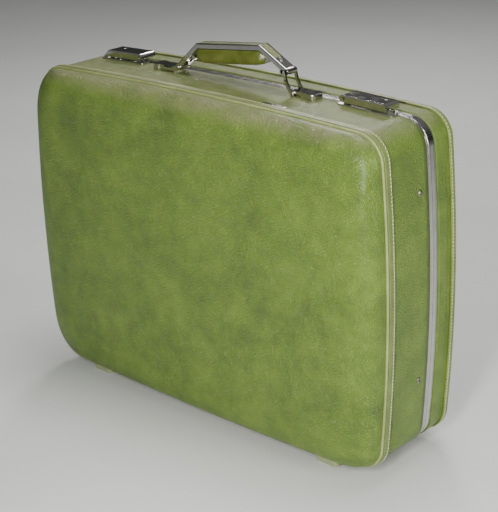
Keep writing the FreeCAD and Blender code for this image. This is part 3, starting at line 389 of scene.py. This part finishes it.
OLIVE_DARK = (0.064, 0.110, 0.007)
OLIVE = (0.106, 0.180, 0.010)
OLIVE_LIGHT = (0.158, 0.248, 0.022)
TOP_TINT_COLOUR = (0.300, 0.262, 0.155)


def grained_vinyl(name, dark=OLIVE_DARK, middle=OLIVE, light=OLIVE_LIGHT, top_tint=0.0, grain=0.00110,
                  shine=0.34, cell=400.0):
    """Calendered vinyl: mottled olive, pebbled grain with fine creases, painted shade in the creases and
    painted highlights on the grain, scuffs and a few scratches.
    """
    t = Tree(name)
    clouds = t.noise(13.0, 6.0, 0.66, distortion=0.5)
    blots = t.noise(52.0, 5.0, 0.65)
    both = t.math("ADD", t.math("MULTIPLY", clouds, 0.5), t.math("MULTIPLY", blots, 0.5))
    colour = t.ramp(both, [(0.36, dark), (0.50, middle), (0.64, light)])
    # the hide-like grain: cells with soft creases between them, broken up by noise
    warp = t.add("ShaderNodeVectorMath", operation="ADD")
    soft = t.add("ShaderNodeTexNoise")
    soft.inputs["Scale"].default_value = 0.6 * cell
    t.link(t.place, soft.inputs["Vector"])
    scaled = t.add("ShaderNodeVectorMath", operation="SCALE")
    scaled.inputs["Scale"].default_value = 0.9 / cell
    t.link(soft.outputs["Color"], scaled.inputs[0])
    t.link(t.place, warp.inputs[0])
    t.link(scaled.outputs[0], warp.inputs[1])
    wobbly = warp.outputs[0]
    cells = t.voronoi(cell, "DISTANCE_TO_EDGE", wobbly)
    pebble = t.levels(cells, 0.0, 0.26)
    coarse = t.voronoi(0.45 * cell, "F1", wobbly)
    height = t.math("ADD", t.math("MULTIPLY", pebble, 0.70), t.math("MULTIPLY", coarse, 0.60))
    height = t.math("ADD", height, t.math("MULTIPLY", t.noise(2.2 * cell, 3.0), 0.35))
    creases_with_painted_shade = t.levels(cells, 0.0, 0.14, 1.0, 0.0)
    # painted shade: the creases between the grain cells are darkened towards the dark olive
    colour = t.mix(t.math("MULTIPLY", creases_with_painted_shade, 0.50), colour, dark)
    # painted highlight: grain-sized noise patches are lightened towards the light olive, standing in for light
    # on the grain's tips
    painted_tip_highlights = t.levels(t.noise(1.2 * cell, 2.0, 0.5), 0.52, 0.70)
    colour = t.mix(t.math("MULTIPLY", painted_tip_highlights, 0.30), colour, light)
    # scuffs: thin pale streaks that follow stretched noise
    streaks = t.noise(1.0, 6.0, 0.7, place=t.stretched((38.0, 60.0, 240.0)))
    scuffs = t.levels(streaks, 0.665, 0.72)
    flecks = t.levels(t.noise(150.0, 3.0, 0.5), 0.70, 0.76)
    worn = t.math("MAXIMUM", t.math("MULTIPLY", scuffs, 0.34), t.math("MULTIPLY", flecks, 0.35))
    colour = t.mix(worn, colour, (0.36, 0.40, 0.19))
    marks = t.levels(t.noise(62.0, 2.0, 0.4, distortion=1.2), 0.72, 0.78)
    colour = t.mix(t.math("MULTIPLY", marks, 0.35), colour, (0.05, 0.062, 0.014))
    # a paler, browner tint towards the top wall, in noise patches
    if top_tint:
        top_tint_patches = t.levels(t.noise(46.0, 5.0, 0.7), 0.38, 0.66, 0.35, 1.0)
        upward = t.levels(t.axis("Z"), MID_Z + HALF_H - 0.020, MID_Z + HALF_H - 0.006)
        colour = t.mix(t.math("MULTIPLY", t.math("MULTIPLY", top_tint_patches, upward), top_tint), colour, TOP_TINT_COLOUR)
    rough = t.math("ADD", t.math("MULTIPLY", blots, 0.16), shine)
    rough = t.math("ADD", rough, t.math("MULTIPLY", creases_with_painted_shade, 0.12))
    dents = t.bump(t.noise(24.0, 2.0, 0.4), 0.0012, 0.35)
    normal = t.bump(height, grain, 1.0, dents)
    return t.finish(colour, rough, normal, Specular_IOR_Level=0.55, Coat_Weight=0.16,
                    Coat_Roughness=0.30)


def metal(name, colour, rough, streak_scale, brushed=0.06, tarnish=(0.30, 0.28, 0.24), age=0.35):
    """Plated or rolled metal with fine streaks, smudges and small dark pits."""
    t = Tree(name)
    streaks = t.noise(1.0, 4.0, 0.6, place=t.stretched(streak_scale))
    smudge = t.noise(70.0, 4.0, 0.6)
    pits = t.levels(t.noise(620.0, 3.0, 0.6), 0.70, 0.78)
    tone = t.mix(t.math("MULTIPLY", t.levels(smudge, 0.45, 0.70), age), colour, tarnish)
    tone = t.mix(t.math("MULTIPLY", pits, 0.25), tone, (0.07, 0.065, 0.05))
    roughness = t.math("ADD", t.math("MULTIPLY", streaks, brushed), rough)
    roughness = t.math("ADD", roughness, t.math("MULTIPLY", t.levels(smudge, 0.4, 0.75), 0.08))
    normal = t.bump(streaks, 0.00002, 0.3)
    return t.finish(tone, roughness, normal, metallic=1.0)


def moulded(name, colour, rough, wear=(0.2, 0.3, 0.15)):
    """Injection-moulded plastic with a fine spark texture and rubbed patches."""
    t = Tree(name)
    fine = t.noise(1400.0, 2.0)
    patches = t.levels(t.noise(120.0, 4.0, 0.6), 0.48, 0.70)
    tone = t.mix(t.math("MULTIPLY", patches, 0.5), colour, wear)
    roughness = t.math("ADD", t.math("MULTIPLY", patches, 0.2), rough)
    return t.finish(tone, roughness, t.bump(fine, 0.00008, 0.8))


def cloth(name, colour, shade, pitch=0.0011, sheen=0.35):
    """Woven lining cloth: crossing threads with slubs and a soft sheen."""
    t = Tree(name)
    waves = []
    for axis_name, other in (("X", "Z"), ("Z", "X")):
        wave = t.math("SINE", t.math("MULTIPLY", t.axis(axis_name), 2 * math.pi / pitch))
        cross = t.math("SINE", t.math("MULTIPLY", t.axis(other), math.pi / pitch))
        waves.append(t.math("MULTIPLY", wave, t.math("ADD", t.math("MULTIPLY", cross, 0.35), 0.65)))
    depth = t.math("SINE", t.math("MULTIPLY", t.axis("Y"), 2 * math.pi / pitch))
    weave = t.math("ADD", t.math("MAXIMUM", waves[0], waves[1]), t.math("MULTIPLY", depth, 0.5))
    slubs = t.noise(1.0, 3.0, 0.6, place=t.stretched((60.0, 400.0, 900.0)))
    fade = t.noise(16.0, 4.0, 0.6)
    tone = t.mix(t.levels(t.math("ADD", fade, t.math("MULTIPLY", slubs, 0.5)), 0.55, 0.95), shade, colour)
    # painted shade: the hollows between the threads are darkened towards the shade colour
    tone = t.mix(t.levels(weave, -1.0, 1.2, 0.30, 0.0), tone, shade)
    return t.finish(tone, 0.78, t.bump(weave, 0.00018, 0.7), Sheen_Weight=sheen,
                    Sheen_Roughness=0.4)


def thread(name, colour):
    """Twisted sewing thread."""
    t = Tree(name)
    twist = t.math("SINE", t.math("MULTIPLY", t.math("ADD", t.axis("X"), t.axis("Z")), 9000.0))
    fade = t.noise(30.0, 3.0)
    tone = t.mix(t.levels(fade, 0.35, 0.65), colour, tuple(0.72 * c for c in colour))
    return t.finish(tone, 0.62, t.bump(twist, 0.00006, 0.8))


MATERIALS = {
    "vinyl_shell": grained_vinyl("vinyl_shell", top_tint=0.55),
    "vinyl_welt": grained_vinyl("vinyl_welt", (0.085, 0.120, 0.022), (0.125, 0.175, 0.034),
                                (0.185, 0.240, 0.060), top_tint=0.30, grain=0.00018, shine=0.36),
    "piping": grained_vinyl("piping", (0.19, 0.23, 0.07), (0.26, 0.30, 0.11), (0.34, 0.37, 0.17),
                            grain=0.00010, shine=0.34),
    "binding": grained_vinyl("binding", (0.045, 0.060, 0.014), (0.075, 0.098, 0.026),
                             (0.11, 0.13, 0.04), grain=0.00010, shine=0.45),
    "rim_aluminium": metal("rim_aluminium", (0.56, 0.55, 0.53), 0.13, (6.0, 900.0, 6.0), 0.06,
                           (0.36, 0.34, 0.30), 0.25),
    "chrome": metal("chrome", (0.62, 0.61, 0.575), 0.05, (60.0, 400.0, 60.0), 0.03,
                    (0.36, 0.33, 0.26), 0.25),
    "steel": metal("steel", (0.60, 0.60, 0.58), 0.24, (300.0, 120.0, 300.0), 0.12),
    "rivet_dark": metal("rivet_dark", (0.30, 0.29, 0.22), 0.30, (300.0, 300.0, 300.0), 0.10,
                        (0.16, 0.15, 0.09), 0.7),
    "foot_plastic": moulded("foot_plastic", (0.230, 0.260, 0.130), 0.34, (0.30, 0.33, 0.19)),
    "grip_vinyl": grained_vinyl("grip_vinyl", (0.055, 0.070, 0.008), (0.092, 0.110, 0.014),
                                (0.130, 0.150, 0.030), grain=0.00012, shine=0.12),
    "inlay": grained_vinyl("inlay", (0.12, 0.14, 0.045), (0.18, 0.20, 0.075), (0.26, 0.27, 0.12),
                           grain=0.00012, shine=0.22),
    "lining": cloth("lining", (0.46, 0.39, 0.22), (0.28, 0.23, 0.11)),
    "webbing": cloth("webbing", (0.40, 0.34, 0.18), (0.24, 0.19, 0.09), 0.0009, 0.25),
    "buckle_plastic": moulded("buckle_plastic", (0.50, 0.44, 0.28), 0.22, (0.56, 0.50, 0.36)),
    "nameplate": metal("nameplate", (0.74, 0.73, 0.69), 0.18, (40.0, 900.0, 40.0), 0.10,
                       (0.42, 0.39, 0.32), 0.5),
    "thread": thread("thread", (0.68, 0.66, 0.38)),
}


def dress(piece, slot):
    """Give a piece the material of a record slot."""
    piece.data.materials.clear()
    piece.data.materials.append(MATERIALS[slot])
    return piece


def soften(piece, width, segments=3, angle=28.0):
    """Round a CAD node's sharp edges for the eye only."""
    bevel = piece.modifiers.new("edges", "BEVEL")
    bevel.width = width
    bevel.segments = segments
    bevel.limit_method = "ANGLE"
    bevel.angle_limit = math.radians(angle)
    bevel.harden_normals = False
    return piece


for part in frame["record"]["subparts"]:
    node = frame["nodes"][part["node"]]
    node.data.materials.clear()
    node.data.materials.append(MATERIALS[part["material_slot"]])


# ---------------------------------------------------------------- shells
def dent_relief(rings):
    """Very slight unevenness of hand-covered board, well under a millimetre."""
    moved = []
    for ring in rings:
        new = []
        for p in ring:
            swell = noise.noise(p * 14.0) * 0.00022
            new.append(Vector((p.x, p.y + swell, p.z)))
        moved.append(new)
    return moved


def build_shells():
    front = shell_piece("front_shell_vinyl", front_rows(0.0, WALL_END_Y), front_rows(WALL, WALL_END_Y),
                        dent_relief)
    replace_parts(dress(front, "vinyl_shell"), "front_shell")
    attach(front, "root")
    lid = shell_piece("lid_shell_vinyl", lid_rows(0.0, LID_MOUTH, True), lid_rows(WALL, LID_MOUTH),
                      dent_relief)
    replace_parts(dress(lid, "vinyl_shell"), "lid_shell")
    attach(lid, "lid")


# ---------------------------------------------------------------- stitches
STITCH_IN = 0.0016        # row on the welt, from the welt's edge
STITCH_OUT = 0.0022       # row on the wall, from the welt's edge
FRONT_WELT_T = 0.0026
LID_WELT_T = 0.0018


def stitch_row(name, y, off, body, pitch=0.0042, length=0.0030, radius=0.00062, lift=0.00020):
    """A row of sewn stitches round the case at depth y, lying on the surface at an offset."""
    ring = outline(off + lift, None, (90, 40, 120))
    points = [Vector((x, y, z)) for x, z, _, _ in ring]
    normals = [Vector((nx, 0, nz)) for _, _, nx, nz in ring]
    lengths = [(points[(i + 1) % len(points)] - p).length for i, p in enumerate(points)]
    total = sum(lengths)
    count = int(total / pitch)
    step = total / count
    verts, faces = [], []
    sections = [(-0.5, 0.25), (-0.36, 0.85), (0.0, 1.0), (0.36, 0.85), (0.5, 0.25)]
    sides = 6
    index, walked = 0, 0.0
    for k in range(count):
        target = (k + 0.5) * step
        while walked + lengths[index] < target:
            walked += lengths[index]
            index += 1
        share = (target - walked) / lengths[index]
        a, b = points[index], points[(index + 1) % len(points)]
        centre = a.lerp(b, share)
        along = (b - a).normalized()
        out = normals[index].lerp(normals[(index + 1) % len(points)], share).normalized()
        slant = 0.16 + 0.05 * noise.noise(centre * 90.0)
        along = (along + Vector((0, slant, 0))).normalized()
        across = along.cross(out).normalized()
        first = len(verts)
        for s, width in sections:
            sink = -0.0004 * (2 * s) ** 4
            for m in range(sides):
                turn = 2 * math.pi * m / sides
                offset = across * math.cos(turn) + out * math.sin(turn) * 0.8
                verts.append(centre + along * (s * length) + out * sink + offset * (radius * width))
        rows = len(sections)
        for r in range(rows - 1):
            for m in range(sides):
                n = (m + 1) % sides
                faces.append((first + r * sides + m, first + r * sides + n,
                              first + (r + 1) * sides + n, first + (r + 1) * sides + m))
        faces.append(tuple(first + m for m in range(sides))[::-1])
        faces.append(tuple(first + (rows - 1) * sides + m for m in range(sides)))
    piece = make_mesh(name, verts, faces)
    piece.data.materials.append(MATERIALS["thread"])
    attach(piece, body)
    return piece


def build_stitches():
    front_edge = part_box("front_welt")[1].y
    stitch_row("front_welt_stitches", front_edge - STITCH_IN, FRONT_WELT_T, "root")
    stitch_row("front_wall_stitches", front_edge + STITCH_OUT, 0.0, "root")
    lid_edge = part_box("lid_welt")[0].y
    stitch_row("lid_welt_stitches", lid_edge + STITCH_IN, lid_lean(lid_edge) + LID_WELT_T, "lid")


# ---------------------------------------------------------------- lining
def build_linings():
    front = shell_piece("front_lining_cloth", front_rows(LINING_OUT, SPLIT_Y - 0.0045),
                        front_rows(LINING_OUT + LINING, SPLIT_Y - 0.0045))
    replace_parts(dress(front, "lining"), "front_lining")
    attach(front, "root")
    lid = shell_piece("lid_lining_cloth", lid_rows(LINING_OUT, SPLIT_Y + 0.008),
                      lid_rows(LINING_OUT + LINING, SPLIT_Y + 0.008))
    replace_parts(dress(lid, "lining"), "lid_lining")
    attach(lid, "lid")


# ---------------------------------------------------------------- grip pad
HANDLE_Y = SPLIT_Y - 0.017
KNUCKLE_UP_X, KNUCKLE_UP_Z = 0.088, 0.4420          # right end of the grip, held up
KNUCKLE_DOWN_X, KNUCKLE_DOWN_Z = -0.086, 0.4225     # left end, down on its folded link
GRIP_TILT = math.atan2(KNUCKLE_UP_Z - KNUCKLE_DOWN_Z, KNUCKLE_UP_X - KNUCKLE_DOWN_X)
GRIP_MIDDLE = Vector(((KNUCKLE_UP_X + KNUCKLE_DOWN_X) / 2, HANDLE_Y, (KNUCKLE_UP_Z + KNUCKLE_DOWN_Z) / 2))
PAD_TOP = 0.0239          # under the channel, above the line between the knuckles
PAD_LOW = 0.0050
PAD_HALF = 0.0114
PAD_END = 0.0600
PAD_TIP = PAD_END + 0.0002
PAD_STRAIGHT = 0.036      # half length of the pad's straight part
CHANNEL_BEND_X = 0.050    # where the channel's arms start to slope
CHANNEL_SLOPE = 0.705
PAD_END_DEPTH = 0.0082
ROUND_BELOW, SQUARE_ABOVE = 2.3, 4.5    # superellipse powers of the pad's section


def in_grip(x, y, z):
    """A point of the grip's own frame, in the row frame."""
    c, sn = math.cos(GRIP_TILT), math.sin(GRIP_TILT)
    return GRIP_MIDDLE + Vector((x * c - z * sn, y, x * sn + z * c))


def pad_section(x):
    """Top, bottom and half width of the pad at x, in the grip's frame."""
    e = min(max((abs(x) - PAD_STRAIGHT) / (PAD_TIP - PAD_STRAIGHT), 0.0), 1.0)
    top = PAD_TOP - CHANNEL_SLOPE * max(0.0, abs(x) - CHANNEL_BEND_X)
    low = PAD_LOW + (PAD_TOP - PAD_END_DEPTH - PAD_LOW) * (1 - math.sqrt(1 - e ** 2.4))
    half = PAD_HALF * (1 - 0.93 * e ** 3.2)
    return top, low, half


def build_pad():
    """Stuffed vinyl underside of the grip: full and round below, square where it meets the channel."""
    rows, sides = 72, 40
    verts, faces = [], []
    for i in range(rows + 1):
        x = -PAD_END * math.cos(math.pi * i / rows)
        top, low, half = pad_section(x)
        middle, tall = (top + low) / 2, (top - low) / 2
        for k in range(sides):
            turn = 2 * math.pi * k / sides
            c, sn = math.cos(turn), math.sin(turn)
            power = 2 / ROUND_BELOW if sn < 0 else 2 / SQUARE_ABOVE
            y = half * math.copysign(abs(c) ** power, c)
            z = middle + tall * math.copysign(abs(sn) ** power, sn)
            point = in_grip(x, y, z)
            pucker = noise.noise(Vector((x * 160, y * 40, z * 60))) * 0.00025 if sn < 0.3 else 0.0
            verts.append(point + Vector((0, math.copysign(pucker, y), 0)))
    for i in range(rows):
        for k in range(sides):
            n = (k + 1) % sides
            faces.append((i * sides + k, (i + 1) * sides + k, (i + 1) * sides + n, i * sides + n))
    faces.append(tuple(range(sides)))
    faces.append(tuple(rows * sides + k for k in range(sides))[::-1])
    pad = dress(make_mesh("grip_pad_vinyl", verts, faces), "grip_vinyl")
    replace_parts(pad, "grip_pad")
    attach(pad, "grip")


# ---------------------------------------------------------------- cloth inside
def ribbon(name, path, z0, z1, thick, slot, body, steps=10):
    """Flat band of webbing along a path of (x, y), its selvedges a little thicker than its middle."""
    verts, faces = [], []
    across = [i / steps for i in range(steps + 1)]
    count = len(path)
    for i, (x, y) in enumerate(path):
        ahead = path[min(i + 1, count - 1)]
        behind = path[max(i - 1, 0)]
        run = Vector((ahead[0] - behind[0], ahead[1] - behind[1])).normalized()
        nx, ny = -run.y, run.x
        loop = []
        for side in (1, -1):
            for a in (across if side > 0 else across[::-1]):
                edge = 1.0 if a in (0.0, 1.0) else 0.82
                half = side * thick / 2 * edge
                loop.append(Vector((x + nx * half, y + ny * half, z0 + (z1 - z0) * a)))
        verts += loop
    ring = 2 * (steps + 1)
    for i in range(count - 1):
        for k in range(ring):
            n = (k + 1) % ring
            faces.append((i * ring + k, i * ring + n, (i + 1) * ring + n, (i + 1) * ring + k))
    faces.append(tuple(range(ring))[::-1])
    faces.append(tuple((count - 1) * ring + k for k in range(ring)))
    piece = dress(make_mesh(name, verts, faces), slot)
    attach(piece, body)
    return piece


STRAP_T = 0.0012
STRAP_BACK = 0.010        # parting line to the middle of the strap's run
STRAP_BEND = 0.003
BUCKLE_HALF = 0.013       # strap's turn round the buckle bar, from the middle
BAR_LOOP_R = 0.0019
STRAP_TAIL = 0.020
STRAP_SAG = 0.0012


def build_straps():
    """Ribbon packing straps: riveted at the end walls, looped round the bars of a slide buckle."""
    for node in ("packing_strap_lower", "packing_strap_upper"):
        low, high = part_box(node)
        reach = high.x - STRAP_T / 2
        run_y = SPLIT_Y - STRAP_BACK
        tab_y = low.y
        for side, label in ((1, "right"), (-1, "left")):
            path = [(reach, tab_y + (run_y - STRAP_BEND - tab_y) * i / 5) for i in range(6)]
            for i in range(1, 7):
                turn = math.pi / 2 * i / 6
                path.append((reach - STRAP_BEND * (1 - math.cos(turn)),
                             run_y - STRAP_BEND + STRAP_BEND * math.sin(turn)))
            start, stop = reach - STRAP_BEND, BUCKLE_HALF
            for i in range(1, 25):
                t = i / 24
                path.append((start + (stop - start) * t, run_y - STRAP_SAG * math.sin(math.pi * t)))
            for i in range(1, 9):
                turn = math.pi * i / 8
                path.append((stop - BAR_LOOP_R * math.sin(turn), run_y + BAR_LOOP_R * (1 - math.cos(turn))))
            for i in range(1, 7):
                path.append((stop + STRAP_TAIL * i / 6, run_y + 2 * BAR_LOOP_R - 0.0022 * i / 6))
            points = [(side * x, y) for x, y in path]
            piece = ribbon(f"{node}_{label}", points, low.z, high.z, STRAP_T, "webbing", "root")
            if side > 0:
                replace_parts(piece, node)


POCKET_GATHERS = 30
POCKET_BELLY = 0.0050
GATHER_DEPTH = 0.0013
RUFFLE_DEPTH = 0.0016
POCKET_CLOTH_T = 0.0005


def build_pocket():
    """Gathered pocket of lining cloth with a ruffled, elasticated mouth."""
    low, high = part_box("lid_pocket")
    columns, rows = 240, 44
    width, tall = high.x - low.x, high.z - low.z
    back = high.y - 0.0004
    verts, faces = [], []
    for j in range(rows + 1):
        v = j / rows
        belly = math.sin(math.pi * min(v * 1.04, 1.0)) * POCKET_BELLY
        strength = 0.25 + 0.75 * smooth_step((v - 0.25) / 0.55)
        for i in range(columns + 1):
            u = i / columns
            edge = min(1.0, min(u, 1 - u) / 0.03)
            phase = 2 * math.pi * POCKET_GATHERS * u + 0.9 * noise.noise(Vector((u * 9, v * 2, 0.3)))
            wave = 0.5 + 0.5 * math.sin(phase)
            ruffle = RUFFLE_DEPTH * smooth_step((v - 0.93) / 0.05)
            depth = edge * (belly + (GATHER_DEPTH + ruffle) * strength * wave)
            hem = 0.0012 * math.sin(phase) * smooth_step((v - 0.96) / 0.04)
            verts.append(Vector((low.x + width * u, back - depth, low.z + tall * v + hem)))
    for j in range(rows):
        for i in range(columns):
            a = j * (columns + 1) + i
            faces.append((a, a + 1, a + columns + 2, a + columns + 1))
    pocket = dress(make_mesh("lid_pocket_cloth", verts, faces), "lining")
    thick = pocket.modifiers.new("cloth", "SOLIDIFY")
    thick.thickness = POCKET_CLOTH_T
    thick.offset = 0.0
    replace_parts(pocket, "lid_pocket")
    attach(pocket, "lid")


# ---------------------------------------------------------------- metal parts with eased edges
EASED = {"latch_lever_right": 0.00045, "latch_lever_left": 0.00045, "handle_bracket_right": 0.0005,
         "handle_bracket_left": 0.0005, "handle_link_right": 0.0005, "handle_link_left": 0.0005,
         "grip_frame": 0.0004, "grip_end_caps": 0.0005, "nameplate": 0.0002,
         "latch_slide_right": 0.0002, "latch_slide_left": 0.0002, "front_feet": 0.0006,
         "lid_feet": 0.0006, "strap_buckles": 0.0004}


def ease_edges():
    for name, width in EASED.items():
        node = frame["nodes"][name]
        weld = node.modifiers.new("weld", "WELD")
        weld.merge_threshold = 0.00001
        soften(node, width)


# ---------------------------------------------------------------- camera, floor and light
def build_camera():
    """Camera at the viewing angle, to the right of the front face and above it."""
    right = Vector((0.73676, 0.67533, -0.03248))
    up = Vector((-0.22810, 0.29349, 0.92837))
    back = Vector((0.63655, -0.67654, 0.37025))
    data = bpy.data.cameras.new("camera")
    data.sensor_width = 36.0
    data.lens = 98.28
    camera = bpy.data.objects.new("camera", data)
    camera.matrix_world = Matrix.Translation((1.12017, -1.16802, 0.83879)) @ Matrix(
        (right, up, back)).transposed().to_4x4()
    data.clip_start = 0.05
    data.clip_end = 50.0
    bpy.context.scene.collection.objects.link(camera)
    bpy.context.scene.camera = camera


CASE_MIDDLE = (0.0, 0.0, 0.22)
DAYLIGHT = (1.0, 0.99, 0.96)
WHITE = (1.0, 1.0, 1.0)
# name, place, aimed at, width and height, watts, colour
LIGHTS = (
    ("key_strip", (0.62, -0.88, 0.50), (0.12, -0.08, 0.24), (0.13, 0.62), 16.0, DAYLIGHT),
    ("side_box", (2.2, 0.1, 0.9), CASE_MIDDLE, (0.7, 0.9), 24.0, DAYLIGHT),
    ("top_box", (0.1, 0.3, 2.2), CASE_MIDDLE, (0.9, 0.7), 24.0, WHITE),
    ("back_box", (-0.95, 1.40, 1.50), CASE_MIDDLE, (0.5, 0.4), 16.0, (1.0, 0.97, 0.95)),
    ("fill_box", (-0.6, -2.6, 1.0), CASE_MIDDLE, (1.2, 1.2), 1.5, WHITE),
)


def area_light(name, place, target, size, power, colour):
    data = bpy.data.lights.new(name, "AREA")
    data.shape = "RECTANGLE"
    data.size, data.size_y = size
    data.energy = power
    data.color = colour
    light = bpy.data.objects.new(name, data)
    light.location = place
    light.rotation_mode = "QUATERNION"
    light.rotation_quaternion = (Vector(place) - Vector(target)).to_track_quat("Z", "Y")
    bpy.context.scene.collection.objects.link(light)


FLOOR_HALF = 30.0
SKY_STRENGTH = 0.33


def build_stage():
    """Plain pale floor under a soft sky, dark at the horizon, with area lights round the case."""
    size = FLOOR_HALF
    floor = make_mesh("floor", [(-size, -size, 0), (size, -size, 0), (size, size, 0), (-size, size, 0)],
                      [(0, 1, 2, 3)])
    t = Tree("floor_paper")
    shade = t.noise(3.0, 2.0)
    tone = t.mix(t.levels(shade, 0.3, 0.7), (0.60, 0.62, 0.60), (0.64, 0.65, 0.63))
    floor.data.materials.append(t.finish(tone, 0.85))
    world = bpy.data.worlds.new("studio")
    world.use_nodes = True
    sky = world.node_tree
    background = sky.nodes["Background"]
    place = sky.nodes.new("ShaderNodeTexCoord")
    split = sky.nodes.new("ShaderNodeSeparateXYZ")
    ramp = sky.nodes.new("ShaderNodeValToRGB")
    stops = ramp.color_ramp.elements
    stops[0].position, stops[0].color = 0.02, (0.07, 0.075, 0.07, 1)
    stops[1].position, stops[1].color = 0.95, (1.0, 1.0, 1.0, 1)
    middle = stops.new(0.42)
    middle.color = (0.20, 0.21, 0.20, 1)
    sky.links.new(place.outputs["Generated"], split.inputs["Vector"])
    sky.links.new(split.outputs["Z"], ramp.inputs["Fac"])
    sky.links.new(ramp.outputs["Color"], background.inputs["Color"])
    background.inputs["Strength"].default_value = SKY_STRENGTH
    bpy.context.scene.world = world
    for name, place, target, size, power, colour in LIGHTS:
        area_light(name, place, target, size, power, colour)


build_camera()
build_stage()
build_shells()
build_stitches()
build_linings()
build_pad()
build_straps()
build_pocket()
ease_edges()
